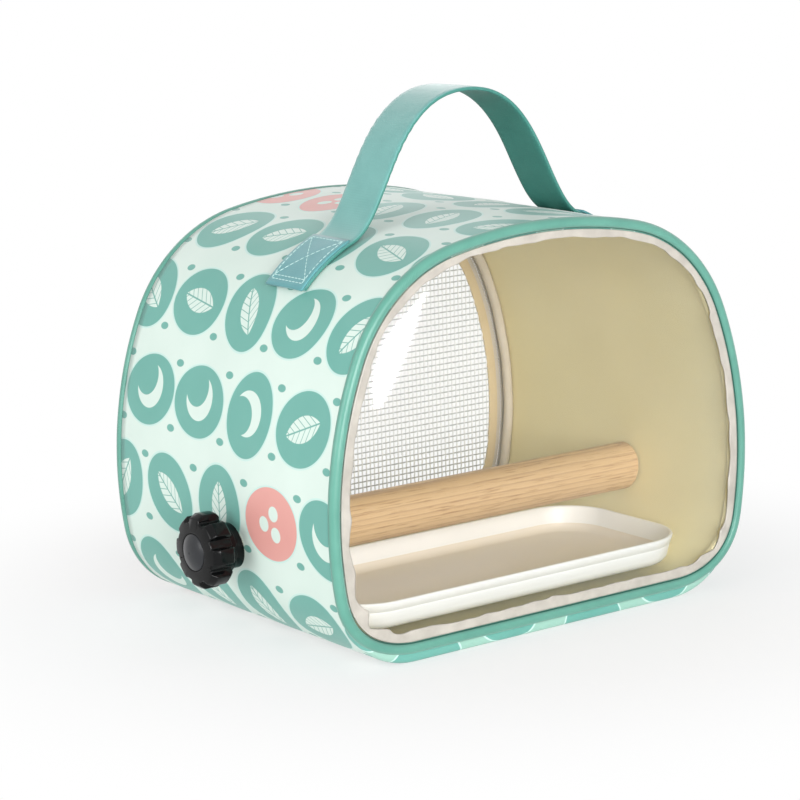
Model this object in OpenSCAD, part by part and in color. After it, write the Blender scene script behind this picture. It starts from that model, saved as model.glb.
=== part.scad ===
// Soft bird travel carrier: a padded D-shaped tunnel with a clear front, a zipped mesh door
// behind, a clamped perch, a loose tray and a webbing handle.
// +X is right, +Y is the back, +Z is up. The origin is the centre of the base.

/* [Bag] */
// Width over the front piping
body_w = 220; // [200:1:260]
// Depth over both pipings
body_d = 160; // [130:1:200]
// Height over the front piping, without the handle
body_h = 170; // [155:1:200]
// Radius of the bottom corners
corner_r = 38; // [34:1:44]
// Radius of the bulging sides
side_r = 165; // [150:1:200]
// Angle round the outline where the corner meets the side
corner_turn = 80; // [76:1:84]
// Angle round the outline where the side meets the shoulder
side_turn = 113; // [108:1:118]
// Angle round the outline where the shoulder meets the crown
shoulder_turn = 168; // [160:1:172]

/* [Walls] */
// Thickness of the printed outer cloth
wrap_t = 1.2; // [0.8:0.1:2]
// Thickness of the foam padding
foam_t = 2.8; // [2:0.1:5]
// Thickness of the lining
lining_t = 1; // [0.6:0.1:2]
// Play of the floor board between the foam edges
board_play = 1; // [0.5:0.1:3]

/* [Piping] */
// Radius of the corded piping
pipe_r = 2.5; // [2:0.1:3]
// How far the piping stands proud of the wall
pipe_proud = 0.5; // [0:0.1:1]
// Rise of the front piping over the floor's padded edge
front_lift = 4.5; // [2:0.1:6]
// Rise of the back piping, which keeps it off the ground
back_lift = 0.6; // [0.6:0.1:0.8]
// Thickness of the tape that covers the raw back seam
back_tape_t = 0.6; // [0.4:0.1:0.7]

/* [Window] */
// Thickness of the clear sheet
window_t = 0.8; // [0.4:0.1:1.2]
// Width of the white binding round the window
binding_w = 5; // [3:0.5:8]
// Thickness of the white binding
binding_t = 1; // [0.6:0.1:1.2]
// Width of the tape over the front seam, inside
front_tape_w = 2.4; // [1.5:0.1:4]

/* [Mesh door] */
// How far the door's fabric lies in from the back of the bag
door_recess = 2.9; // [2.6:0.1:3.2]
// Height of the fold that the door swings on
fold_z = 21.5; // [21:0.1:24]
// Width of the binding round the net
door_binding_w = 4.8; // [4:0.1:7]
// Thickness of that binding
door_binding_t = 1; // [0.8:0.1:1.4]
// Thickness of the net
net_t = 0.6; // [0.4:0.1:0.8]
// Pitch of the net's openings
net_pitch = 9.6; // [9:0.1:14]
// Width of one strand
net_strand = 1.2; // [0.8:0.1:2]

/* [Zip] */
// Inset of the zip's centre line from the wall's outside
zip_d = 8.4; // [8.4:0.1:9]
// Free gap between the two coils
zip_gap = 0.6; // [0.5:0.05:0.8]
// Width of one coil
coil_w = 1.1; // [0.9:0.05:1.3]
// Height of a coil over its tape
coil_h = 1.4; // [1:0.1:1.6]
// Thickness of the zip's tapes
tape_t = 0.6; // [0.4:0.1:0.8]
// Length of the slider
slider_l = 8.2; // [7:0.1:8.4]
// Width of the slider
slider_w = 5; // [4.8:0.1:5.4]
// Length of the pull from its pin
pull_l = 12; // [9:0.5:14]

/* [Handle] */
// Width of the webbing
web_w = 25; // [20:1:30]
// Thickness of the webbing
web_t = 1.8; // [1.2:0.1:2.5]
// Height of the top of the handle over the bag
handle_top = 50; // [40:1:80]
// Distance between the two places where the webbing leaves the bag
handle_span = 120; // [110:1:128]
// Length of the sewn patch at each end
patch_l = 29; // [22:1:34]
// Thickness of the patch
patch_t = 1; // [0.6:0.1:1.5]
// Place of the handle along the depth
handle_y = -17; // [-25:1:20]
// Height over the bag at which the webbing folds over
handle_fold_z = 6; // [4:0.5:10]

/* [Perch] */
// Diameter of the wooden perch
perch_dia = 21; // [14:1:24]
// Height of the perch's centre line
perch_z = 41.5; // [40:0.5:60]
// Place of the perch along the depth
perch_y = -8; // [-20:1:20]
// Diameter of the clamping stud
stud_dia = 6; // [5:0.5:8]
// Length of the threaded insert
insert_l = 14; // [10:1:20]
// Wall of the threaded insert
insert_wall = 1.5; // [1:0.1:2]
// Wall of the eyelet's sleeve
eyelet_wall = 0.9; // [0.6:0.1:1.2]
// Diameter of the eyelet's flanges
eyelet_dia = 16; // [14:0.5:20]
// Thickness of the eyelet's flanges
eyelet_t = 0.8; // [0.5:0.1:1.2]

/* [Knobs] */
// Diameter over the lobes
knob_dia = 31; // [26:1:36]
// Number of lobes
knob_lobes = 8; // [6:1:10]
// Width of one lobe
lobe_w = 6.4; // [5:0.1:7]
// Depth of the grooves between the lobes
groove = 3; // [1.5:0.1:4]
// Thickness of the lobed head
head_t = 11; // [8:0.5:14]
// Diameter of the collar behind the head
collar_dia = 22; // [18:0.5:24]
// Thickness of the collar
collar_t = 3; // [2:0.5:5]
// Diameter of the domed cap
cap_dia = 15; // [10:0.5:18]
// Height of the dome over the head
cap_rise = 2; // [1:0.1:3]
// Diameter of the washer under the knob
washer_dia = 19; // [17:0.5:22]
// Thickness of that washer at the perch's height
washer_t = 3; // [2.5:0.1:4]

/* [Tray] */
// Free gap between the tray's lower edge and the lining's corners
tray_seat = 0.27; // [0.2:0.01:1]
// Depth over the tray's rim
tray_d = 82; // [60:1:100]
// Height of the tray
tray_h = 12.4; // [9:0.1:14]
// Height of the tray's underside over the lining
tray_z = 5.3; // [2:0.1:6]
// Free space between the lining and the tray's front
tray_front = 9; // [8.5:0.5:20]
// Corner radius of the rim, seen from above
tray_r = 24; // [16:1:30]
// Rounding of the tray's lower edge
tray_edge_r = 5; // [4.5:0.5:7]
// How far the wall leans out on its way to the rim
tray_draft = 2; // [1.5:0.1:6]
// Wall of the tray
tray_wall = 1.6; // [1.2:0.1:2.4]
// Depth of the step line on the tray's outside
tray_step = 0.35; // [0:0.05:0.6]

/* [Hidden] */
$fn = 64;
far = 400;

wall_t = wrap_t + foam_t + lining_t;
half_w = body_w / 2 - pipe_proud;
top_z = body_h - pipe_proud;
// The plane of the piping's cord, and the ends of the walls that it covers
seam_y = body_d / 2 - pipe_r;
wall_y = body_d / 2 - 2 * pipe_r;
pipe_d = pipe_r - pipe_proud;
pipe_inner_d = pipe_d + pipe_r;
seam_play = 0.1;
seam_d = pipe_inner_d + seam_play;
// How far solids of one piece run into each other, and how far a cut runs past what it cuts
lap = 1;

// The outline is four tangent arcs a side, from the flat base to the middle of the crown.
// The last two radii follow from the height.
flat_half = half_w - corner_r * sin(corner_turn) - side_r * (1 - sin(corner_turn));
corner_x = flat_half + corner_r * sin(corner_turn);
corner_z = corner_r * (1 - cos(corner_turn));
side_x = corner_x + side_r * (sin(side_turn) - sin(corner_turn));
side_z = corner_z + side_r * (cos(corner_turn) - cos(side_turn));
eq_a = sin(shoulder_turn) - sin(side_turn);
eq_b = -sin(shoulder_turn);
eq_c = cos(side_turn) - cos(shoulder_turn);
eq_d = cos(shoulder_turn) + 1;
eq_det = eq_a * eq_d - eq_b * eq_c;
shoulder_r = (-side_x * eq_d - eq_b * (top_z - side_z)) / eq_det;
crown_r = (eq_a * (top_z - side_z) + side_x * eq_c) / eq_det;
shoulder_c = [side_x - shoulder_r * sin(side_turn), side_z + shoulder_r * cos(side_turn)];
// Each arc: radius, first angle, last angle, steps, centre
ARCS = [
    [corner_r, 0, corner_turn, 10, [flat_half, corner_r]],
    [side_r, corner_turn, side_turn, 6,
        [corner_x - side_r * sin(corner_turn), corner_z + side_r * cos(corner_turn)]],
    [shoulder_r, side_turn, shoulder_turn, 10, shoulder_c],
    [crown_r, shoulder_turn, 180, 3, [0, top_z - crown_r]],
];
// Stations of the right half: centre, radius, angle
STATIONS = [for (a = ARCS) for (i = [(a[1] == 0 ? 0 : 1):a[3]])
    [a[4], a[0], a[1] + (a[2] - a[1]) * i / a[3]]];
LAST = len(STATIONS) - 1;

// The raised bottom run fades out over the corner.
function lift_at(angle) = angle < corner_turn ? (1 + cos(180 * angle / corner_turn)) / 2 : 0;
function inset_point(s, d, lift) =
    [s[0][0] + (s[1] - d) * sin(s[2]), s[0][1] - (s[1] - d) * cos(s[2]) + lift * lift_at(s[2])];
function outline(d, lift = 0) = concat(
    [for (s = STATIONS) inset_point(s, d, lift)],
    [for (k = [LAST - 1:-1:0]) let (p = inset_point(STATIONS[k], d, lift)) [-p[0], p[1]]]);

// Extrudes a front view from y0 back to y1
module along_y(y0, y1) {
    translate([0, y1, 0]) rotate([90, 0, 0]) linear_extrude(y1 - y0) children();
}
module band(d0, d1, y0, y1, lift0 = 0, lift1 = 0) {
    along_y(y0, y1) difference() {
        polygon(outline(d0, lift0));
        polygon(outline(d1, lift1));
    }
}
module plate(d, y0, y1, lift = 0) {
    along_y(y0, y1) polygon(outline(d, lift));
}
// The slab of space between two heights
module between(z0, z1) {
    translate([-far / 2, -far / 2, z0]) cube([far, far, z1 - z0]);
}
// A cylinder on the perch's axis, from x0 to x1
module on_perch(r, x0, x1) {
    translate([x0, perch_y, perch_z]) rotate([0, 90, 0]) cylinder(r = r, h = x1 - x0);
}
module both_sides() {
    children();
    mirror([1, 0, 0]) children();
}

// Wall layers
stud_r = stud_dia / 2;
stud_play = 0.3;
sleeve_play = 0.1;
sleeve_r = stud_r + stud_play + eyelet_wall;
module perch_holes() {
    both_sides() on_perch(sleeve_r + sleeve_play, half_w - far / 4, half_w + far / 8);
}
lip_play = 0.05;
module outer_wrap() {
    color("#dcefe6") {
        difference() {
            band(0, wrap_t, -wall_y, wall_y);
            perch_holes();
        }
        // The padded front edge of the floor, under the raised piping
        along_y(-seam_y - pipe_proud, -wall_y) difference() {
            polygon(outline(0));
            polygon(outline(-pipe_proud - lip_play, front_lift));
        }
    }
}
module foam_core() {
    color("#e9e7dd") difference() {
        band(wrap_t, wrap_t + foam_t, -wall_y, wall_y);
        perch_holes();
        translate([-flat_half, -far / 2, 0]) cube([2 * flat_half, far, wall_t]);
    }
}
module floor_board() {
    color("#b9b2a3") translate([board_play - flat_half, board_play - wall_y, wrap_t])
        cube([2 * (flat_half - board_play), 2 * (wall_y - board_play), foam_t]);
}
module inner_lining() {
    color("#d8ca9c") difference() {
        band(wrap_t + foam_t, wall_t, -wall_y, wall_y);
        perch_holes();
    }
}

// Piping: a round cord swept round the whole outline
PIPE_SIDES = 12;
PIPE_STATIONS = concat(
    [for (s = STATIONS) [s, 1]], [for (k = [LAST - 1:-1:0]) [STATIONS[k], -1]]);
module piping(y, lift) {
    n = len(PIPE_STATIONS);
    points = [for (p = PIPE_STATIONS) for (j = [0:PIPE_SIDES - 1])
        let (turn = 360 * j / PIPE_SIDES,
            q = inset_point(p[0], pipe_d - pipe_r * cos(turn), lift))
        [p[1] * q[0], y + pipe_r * sin(turn), q[1]]];
    faces = [for (k = [0:n - 1]) for (j = [0:PIPE_SIDES - 1]) for (half = [0, 1])
        let (a = k * PIPE_SIDES, b = ((k + 1) % n) * PIPE_SIDES, m = (j + 1) % PIPE_SIDES)
        half == 0 ? [a + j, b + j, b + m] : [a + j, b + m, a + m]];
    polyhedron(points, faces);
}
module front_piping() {
    color("#74c2ac") piping(-seam_y, front_lift);
}
module back_piping() {
    color("#74c2ac") piping(seam_y, back_lift);
}

// Front window and its seam
window_y = -seam_y + (window_t / 2);
module front_window() {
    color("#eef6f6") plate(seam_d, window_y - window_t, window_y, front_lift);
}
module window_binding() {
    color("#f2f1ee") band(seam_d, seam_d + binding_w, window_y - window_t - binding_t,
        window_y - window_t, front_lift, front_lift);
}
module front_seam_tape() {
    color("#e6dfc9") band(seam_d, seam_d + front_tape_w, window_y, -wall_y, front_lift, front_lift);
}

// Back seam, sill and zip. The door's parts lie in the same planes as the sill's.
door_y = body_d / 2 - door_recess;
fold_gap = 0.15;
tape_d = seam_d + back_tape_t;
coil_out_d = zip_d - zip_gap / 2;
coil_in_d = zip_d + zip_gap / 2;
slider_play = 0.4;
door_d = zip_d + slider_w / 2 + slider_play;
net_d = door_d + door_binding_w;
tape_end_d = coil_in_d + door_binding_w;
sill_lap = 0.8;
sill_d = door_d + sill_lap;
// Zip ends: the tapes, the stops and the coils start one above the other.
tail_turn = 30;
stop_l = 1.3;
tail_step = 0.9;
fold_clear = 3;
tail_z = corner_r - (corner_r - zip_d) * cos(tail_turn);
stop_z = tail_z - stop_l;
tape_z = stop_z - tail_step;
sill_low_z = tape_z - tail_step;
sill_tail_z = fold_z - fold_clear;
module back_seam_tape() {
    color("#cfc29b") band(seam_d, tape_d, wall_y, door_y + tape_t, back_lift, back_lift);
}
module back_sill() {
    color("#cdbb98") along_y(door_y - door_binding_t, door_y) union() {
        intersection() {
            polygon(outline(tape_d, back_lift));
            translate([-far / 2, 0]) square([far, sill_low_z]);
        }
        intersection() {
            polygon(outline(sill_d));
            translate([-far / 2, 0]) square([far, fold_z - fold_gap]);
        }
        translate([-flat_half, sill_low_z - lap])
            square([2 * flat_half, sill_d - sill_low_z + 2 * lap]);
    }
}
module zip_tape_bag() {
    color("#b9b0a0") {
        intersection() {
            band(tape_d, coil_out_d, door_y, door_y + tape_t, back_lift, 0);
            between(tape_z, far);
        }
        intersection() {
            band(coil_in_d, tape_end_d, door_y, door_y + tape_t);
            between(tape_z, sill_tail_z);
            both_sides() translate([flat_half, 0, 0]) cube([far, far, far]);
        }
    }
}
module coil(d0, z0, z1) {
    intersection() {
        band(d0, d0 + coil_w, door_y + tape_t, door_y + tape_t + coil_h);
        between(z0, z1);
    }
}
module zip_coil_bag() {
    color("#a79d8b") {
        coil(coil_out_d - coil_w, tail_z, far);
        intersection() {
            coil(coil_in_d, tail_z, sill_tail_z);
            both_sides() translate([flat_half, 0, 0]) cube([far, far, far]);
        }
    }
}
module zip_stops() {
    color("#8d8d8d") intersection() {
        union() {
            coil(coil_out_d - coil_w, stop_z, tail_z);
            coil(coil_in_d, stop_z, tail_z);
        }
        both_sides() translate([flat_half, 0, 0]) cube([far, far, far]);
    }
}

// The slider waits on the zip's right-hand tail, clear of the door. It is drawn at the bottom
// of the corner's arc and turned to its place.
slider_turn = 38;
slider_plate = 0.9;
slider_rub = 0.2;
slider_taper = 1.4;
blade_play = 0.15;
slider_in_y = door_y - slider_rub;
slider_out_y = door_y + tape_t + coil_h + slider_rub;
blade_w = zip_gap - 2 * blade_play;
bridge_l = 5.4;
bridge_w = 2.4;
bridge_h = 1.8;
bridge_bar = 0.6;
bridge_leg = 1;
pin_r = 0.5;
pin_y = slider_out_y + slider_plate + (bridge_h - bridge_bar) / 2;
module at_slider() {
    translate([flat_half, 0, corner_r]) rotate([0, -slider_turn, 0])
        translate([0, 0, zip_d - corner_r]) children();
}
// A box with its middle at x = 0 and z = 0
module block(x, y0, y1, z) {
    translate([-x / 2, y0, -z / 2]) cube([x, y1 - y0, z]);
}
// One face of the slider, drawn in at both ends
module slider_face(y0, y1) {
    a = slider_l / 2;
    b = slider_w / 2;
    c = slider_taper;
    along_y(y0, y1) polygon([[c - a, -b], [a - c, -b], [a, c - b], [a, b - c], [a - c, b], [c - a, b],
        [-a, b - c], [-a, c - b]]);
}
module zip_slider() {
    color("#8f8f8f") at_slider() difference() {
        union() {
            slider_face(slider_in_y - slider_plate, slider_in_y);
            slider_face(slider_out_y, slider_out_y + slider_plate);
            block(slider_l / 4, slider_in_y - slider_plate, slider_out_y + slider_plate, blade_w);
            block(bridge_l, slider_out_y + slider_plate / 2,
                slider_out_y + slider_plate + bridge_h, bridge_w);
        }
        block(bridge_l - 2 * bridge_leg, slider_out_y + slider_plate,
            slider_out_y + slider_plate + bridge_h - bridge_bar, bridge_w + 2 * lap);
    }
}
module zip_pull() {
    arm_t = 0.8;
    arm_l = 4.2;
    arm_gap = bridge_w + 1;
    arm_lap = 0.2;
    pull_t = 0.8;
    eye_r = 1.1;
    eye_inset = 2.4;
    color("#8f8f8f") at_slider() {
        translate([0, pin_y, -arm_gap / 2]) cylinder(r = pin_r, h = arm_gap);
        for (side = [-1, 1]) translate([-arm_l, pin_y - pull_t / 2, side * arm_gap / 2 - arm_t / 2])
            cube([arm_l + pin_r, pull_t, arm_t]);
        difference() {
            translate([-pull_l, pin_y - pull_t / 2, -arm_gap / 2 - arm_t / 2])
                cube([pull_l - arm_l + arm_lap, pull_t, arm_gap + arm_t]);
            translate([eye_inset - pull_l, 0, 0]) rotate([-90, 0, 0]) cylinder(r = eye_r, h = far);
        }
    }
}

// Mesh door
bar_top_z = fold_z + fold_gap + door_binding_w;
module door_binding() {
    color("#cdbb98") along_y(door_y - door_binding_t, door_y) difference() {
        intersection() {
            polygon(outline(door_d));
            translate([-far / 2, fold_z + fold_gap]) square([far, far]);
        }
        intersection() {
            polygon(outline(net_d));
            translate([-far / 2, bar_top_z]) square([far, far]);
        }
    }
}
net_y = door_y - (door_binding_t + net_t) / 2;
net_cols = floor((half_w - net_d) / net_pitch);
net_rows = floor((top_z - net_d - bar_top_z) / net_pitch);
net_hole = net_pitch - net_strand;
module door_net() {
    color("#eef0ef") along_y(net_y, net_y + net_t) difference() {
        intersection() {
            polygon(outline(net_d));
            translate([-far / 2, bar_top_z]) square([far, far]);
        }
        intersection() {
            union() for (i = [-net_cols:net_cols - 1], k = [0:net_rows])
                translate([i * net_pitch + net_strand / 2, bar_top_z + net_strand + k * net_pitch])
                    square(net_hole);
            polygon(outline(net_d + net_strand));
        }
    }
}
module zip_tape_door() {
    color("#b9b0a0") intersection() {
        band(coil_in_d, tape_end_d, door_y, door_y + tape_t);
        between(fold_z + fold_clear, far);
    }
}
module zip_coil_door() {
    color("#a79d8b") coil(coil_in_d, fold_z + fold_clear, far);
}

// Handle. Its ends follow the shoulder's arc under the patches, then the webbing leaves the
// bag along one cubic curve to the top.
sewn_gap = 0.1;
web_d = -sewn_gap - web_t / 2;
leave_turn = 180 - asin((handle_span / 2 - shoulder_c[0]) / (shoulder_r - web_d));
patch_turn = patch_l / shoulder_r * 180 / PI;
sewn_turn = leave_turn - patch_turn;
SEWN_STEPS = 10;
BEND_STEPS = 18;
// How far the curve runs on before it turns, as shares of the span
CROWN_SHARE = 0.33;
ROOT_SHARE = 0.17;
crown_reach = handle_span * CROWN_SHARE;
root_reach = handle_span * ROOT_SHARE;
function shoulder(angle, d) =
    shoulder_c + (shoulder_r - d) * [sin(angle), -cos(angle)];
function sewn_angle(i) = sewn_turn + patch_turn * i / SEWN_STEPS;
web_p3 = shoulder(leave_turn, web_d);
web_p2 = web_p3 + root_reach * [cos(leave_turn), sin(leave_turn)];
web_p0 = [0, body_h + handle_top - web_t / 2];
web_p1 = [crown_reach, web_p0[1]];
function bend(t) = (1 - t) * (1 - t) * (1 - t) * web_p3 + 3 * (1 - t) * (1 - t) * t * web_p2
    + 3 * (1 - t) * t * t * web_p1 + t * t * t * web_p0;
function bend_way(t) = 3 * (1 - t) * (1 - t) * (web_p2 - web_p3)
    + 6 * (1 - t) * t * (web_p1 - web_p2) + 3 * t * t * (web_p0 - web_p1);
// Points of the webbing's right half, off its middle by off (positive outwards)
function web_side(off) = concat(
    [for (i = [0:SEWN_STEPS]) shoulder(sewn_angle(i), web_d - off)],
    [for (i = [1:BEND_STEPS]) let (t = i / BEND_STEPS, w = bend_way(t), n = [w[1], -w[0]] / norm(w))
        bend(t) + off * n]);
function reversed(list) = [for (i = [len(list) - 1:-1:0]) list[i]];
function whole_side(off) = let (right = web_side(off))
    concat(right, [for (i = [len(right) - 2:-1:0]) [-right[i][0], right[i][1]]]);
// The loop rocks on a ridge cut across the top of each sewn end.
rock_play = 0.15;
rock_angle = 36;
module handle_web() {
    along_y(handle_y - web_w / 2, handle_y + web_w / 2)
        polygon(concat(whole_side(web_t / 2), reversed(whole_side(-web_t / 2))));
}
module handle_loop() {
    color("#8fcac4") intersection() {
        handle_web();
        between(body_h + handle_fold_z + rock_play, far);
    }
}
module handle_end_right() {
    half = web_w;
    drop = half * tan(rock_angle);
    ridge = body_h + handle_fold_z - rock_play;
    color("#8fcac4") intersection() {
        handle_web();
        translate([0, handle_y, 0]) rotate([90, 0, 90]) linear_extrude(far)
            polygon([[-half, 0], [half, 0], [half, ridge - drop], [0, ridge], [-half, ridge - drop]]);
    }
}
module handle_end_left() {
    mirror([1, 0, 0]) handle_end_right();
}
patch_d = web_d - web_t / 2 - sewn_gap;
module handle_patch_right() {
    color("#62a9ae") along_y(handle_y - web_w / 2, handle_y + web_w / 2) polygon(concat(
        [for (i = [0:SEWN_STEPS]) shoulder(sewn_angle(i), patch_d - patch_t)],
        [for (i = [SEWN_STEPS:-1:0]) shoulder(sewn_angle(i), patch_d)]));
}
module handle_patch_left() {
    mirror([1, 0, 0]) handle_patch_right();
}

// Perch, clamped between the walls. Its ends follow the walls, which the clamp draws flat.
fit_play = 0.05;
seat_play = 0.3;
perch_end_d = wall_t + eyelet_t + seat_play;
insert_sunk = 2.2;
insert_x1 = half_w - wall_t - eyelet_t - insert_sunk;
insert_x0 = insert_x1 - insert_l;
insert_r = stud_r + fit_play + insert_wall;
insert_play = 0.02;
stud_x0 = insert_x0 + 1;
drill_run = 6;
module perch() {
    color("#d2a66c") difference() {
        intersection() {
            on_perch(perch_dia / 2, -half_w, half_w);
            plate(perch_end_d, -far / 2, far / 2);
        }
        both_sides() {
            on_perch(insert_r + insert_play, insert_x0, far / 2);
            on_perch(stud_r + stud_play, insert_x0 - drill_run, far / 2);
        }
    }
}
module perch_insert_right() {
    color("#c9a85a") difference() {
        on_perch(insert_r, insert_x0, insert_x1);
        on_perch(stud_r + fit_play, insert_x0 - lap, insert_x1 + lap);
    }
}
module perch_insert_left() {
    mirror([1, 0, 0]) perch_insert_right();
}
module wall_eyelet_right() {
    color("#c8c8c8") difference() {
        union() {
            intersection() {
                band(-eyelet_t, 0, -far / 4, far / 4);
                on_perch(eyelet_dia / 2, 0, far / 2);
            }
            intersection() {
                band(wall_t, wall_t + eyelet_t, -far / 4, far / 4);
                on_perch(eyelet_dia / 2, 0, far / 2);
            }
            intersection() {
                band(-eyelet_t, wall_t + eyelet_t, -far / 4, far / 4);
                on_perch(sleeve_r, 0, far / 2);
            }
        }
        on_perch(stud_r + stud_play, 0, far / 2);
    }
}
module wall_eyelet_left() {
    mirror([1, 0, 0]) wall_eyelet_right();
}

// Knobs, built on the right and mirrored
washer_x = half_w + eyelet_t + washer_t;
knob_x = washer_x + seat_play;
head_x = knob_x + collar_t;
stud_x1 = head_x + head_t / 2;
module knob_washer_right() {
    color("#1c1c1e") difference() {
        on_perch(washer_dia / 2, half_w - far / 8, washer_x);
        plate(-eyelet_t - seat_play, -far / 2, far / 2);
        on_perch(stud_r + stud_play, 0, far / 2);
    }
}
module knob_washer_left() {
    mirror([1, 0, 0]) knob_washer_right();
}
cap_seat = 2;
cap_play = 0.1;
module on_knob_axis() {
    translate([head_x, perch_y, perch_z]) rotate([0, 90, 0]) children();
}
module knob_right() {
    r = knob_dia / 2;
    edge = 1.6;
    cap_ledge = 1;
    color("#161618") difference() {
        union() {
            on_perch(collar_dia / 2, knob_x, head_x + lap);
            intersection() {
                on_knob_axis() linear_extrude(head_t) union() {
                    circle(r = r - groove);
                    for (i = [0:knob_lobes - 1]) rotate(360 * i / knob_lobes)
                        translate([0, -lobe_w / 2]) square([r, lobe_w]);
                }
                // Turned outline: eased back edge, and a face that falls away to the rim
                on_knob_axis() rotate_extrude() polygon([[0, 0], [r - edge, 0], [r, edge],
                    [r, head_t - 2 * edge], [r - edge, head_t - edge / 2],
                    [cap_dia / 2 + cap_ledge, head_t], [0, head_t]]);
            }
        }
        on_knob_axis() translate([0, 0, head_t - cap_seat]) cylinder(r = cap_dia / 2 + cap_play, h = far);
        on_perch(stud_r, 0, stud_x1);
    }
}
module knob_left() {
    mirror([1, 0, 0]) knob_right();
}
module knob_stud_right() {
    color("#b5b5b5") on_perch(stud_r, stud_x0, stud_x1);
}
module knob_stud_left() {
    mirror([1, 0, 0]) knob_stud_right();
}
dome_r = (pow(cap_dia / 2, 2) + pow(cap_rise, 2)) / (2 * cap_rise);
module knob_cap_right() {
    color("#3a3c42") on_knob_axis() translate([0, 0, head_t - cap_seat]) {
        cylinder(r = cap_dia / 2, h = cap_seat);
        intersection() {
            translate([0, 0, cap_seat + cap_rise - dome_r]) sphere(r = dome_r);
            translate([0, 0, cap_seat]) cylinder(r = cap_dia / 2, h = 2 * cap_rise);
        }
    }
}
module knob_cap_left() {
    mirror([1, 0, 0]) knob_cap_right();
}

// Tray: one wall lofted through rounded rectangles, from the underside out and back in
CORNER_STEPS = 6;
tray_y = -wall_y + tray_front + tray_d / 2;
// The rounded lower edge sits in the lining's corner arcs, which sets the width over the rim.
edge_run = corner_r - wall_t - tray_edge_r;
tray_w = 2 * (flat_half + tray_draft + tray_edge_r
    + sqrt(pow(edge_run - tray_seat, 2) - pow(edge_run - tray_z, 2)));
// One ring, drawn in from the rim by in, at height z over the underside
function tray_ring(in, z) = [for (q = [0:3]) for (i = [0:CORNER_STEPS])
    let (turn = 90 * q + 90 * i / CORNER_STEPS, r = tray_r - in,
        x = (q == 0 || q == 3 ? 1 : -1) * (tray_w / 2 - tray_r),
        y = (q < 2 ? 1 : -1) * (tray_d / 2 - tray_r))
    [x + r * cos(turn), tray_y + y + r * sin(turn), wall_t + tray_z + z]];
step_z = tray_h * 2 / 3;
function lean(z) = tray_draft * (tray_h - z) / (tray_h - tray_edge_r);
EDGE_STEPS = 4;
rim_r = 0.6;
TRAY_RINGS = concat(
    [for (i = [0:EDGE_STEPS]) let (a = 90 * i / EDGE_STEPS)
        [tray_draft + tray_edge_r * (1 - sin(a)), tray_edge_r * (1 - cos(a))]],
    [[lean(step_z) + tray_step, step_z - tray_step], [lean(step_z), step_z], [0, tray_h - rim_r],
        [rim_r / 2, tray_h], [tray_wall - rim_r / 2, tray_h], [tray_wall, tray_h - rim_r],
        [tray_wall + lean(tray_edge_r), tray_edge_r]],
    [for (i = [EDGE_STEPS - 1:-1:0]) let (a = 90 * i / EDGE_STEPS, r = tray_edge_r - tray_wall)
        [tray_draft + tray_wall + r * (1 - sin(a)), tray_wall + r * (1 - cos(a))]]);
module tray() {
    n = 4 * (CORNER_STEPS + 1);
    m = len(TRAY_RINGS);
    points = [for (k = TRAY_RINGS) each tray_ring(k[0], k[1])];
    sides = [for (k = [0:m - 2]) for (j = [0:n - 1]) for (half = [0, 1])
        let (a = k * n, b = a + n, s = (j + 1) % n)
        half == 0 ? [a + j, b + j, b + s] : [a + j, b + s, a + s]];
    color("#efece4") polyhedron(points,
        concat(sides, [[for (j = [0:n - 1]) j]], [[for (j = [n - 1:-1:0]) (m - 1) * n + j]]));
}

outer_wrap();
foam_core();
floor_board();
inner_lining();
front_piping();
back_piping();
front_window();
window_binding();
front_seam_tape();
back_seam_tape();
back_sill();
zip_tape_bag();
zip_coil_bag();
zip_stops();
zip_slider();
zip_pull();
door_net();
door_binding();
zip_tape_door();
zip_coil_door();
handle_loop();
handle_end_left();
handle_end_right();
handle_patch_left();
handle_patch_right();
perch();
perch_insert_left();
perch_insert_right();
wall_eyelet_left();
wall_eyelet_right();
knob_washer_left();
knob_washer_right();
knob_left();
knob_right();
knob_stud_left();
knob_stud_right();
knob_cap_left();
knob_cap_right();
tray();
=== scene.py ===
# A soft bird travel carrier: printed padded tunnel, clear front, mesh door behind, wooden perch,
# loose tray and webbing handle. Sizes are in millimetres until a piece is finished.
import math

import bmesh
import bpy
from mathutils import Matrix, Quaternion, Vector, noise


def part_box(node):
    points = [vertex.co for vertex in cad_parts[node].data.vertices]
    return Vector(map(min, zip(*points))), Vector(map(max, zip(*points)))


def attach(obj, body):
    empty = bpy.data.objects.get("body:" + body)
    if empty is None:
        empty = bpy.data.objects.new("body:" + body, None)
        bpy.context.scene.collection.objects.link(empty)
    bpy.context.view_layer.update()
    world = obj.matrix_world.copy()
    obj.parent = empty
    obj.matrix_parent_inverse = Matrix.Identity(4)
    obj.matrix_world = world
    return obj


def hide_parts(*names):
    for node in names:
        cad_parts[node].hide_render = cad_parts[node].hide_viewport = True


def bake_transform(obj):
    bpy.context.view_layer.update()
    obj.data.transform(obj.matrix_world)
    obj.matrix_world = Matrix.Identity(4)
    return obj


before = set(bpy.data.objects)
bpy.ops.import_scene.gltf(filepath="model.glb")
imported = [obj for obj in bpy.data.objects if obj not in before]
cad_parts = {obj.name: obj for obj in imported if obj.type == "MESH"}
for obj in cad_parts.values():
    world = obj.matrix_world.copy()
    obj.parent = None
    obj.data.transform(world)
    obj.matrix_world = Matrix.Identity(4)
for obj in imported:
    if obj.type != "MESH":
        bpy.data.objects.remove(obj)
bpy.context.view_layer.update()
MM = 0.001


def node_box(name):
    """Lowest and highest corner of a construction node, in millimetres."""
    low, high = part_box(name)
    return low / MM, high / MM


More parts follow.
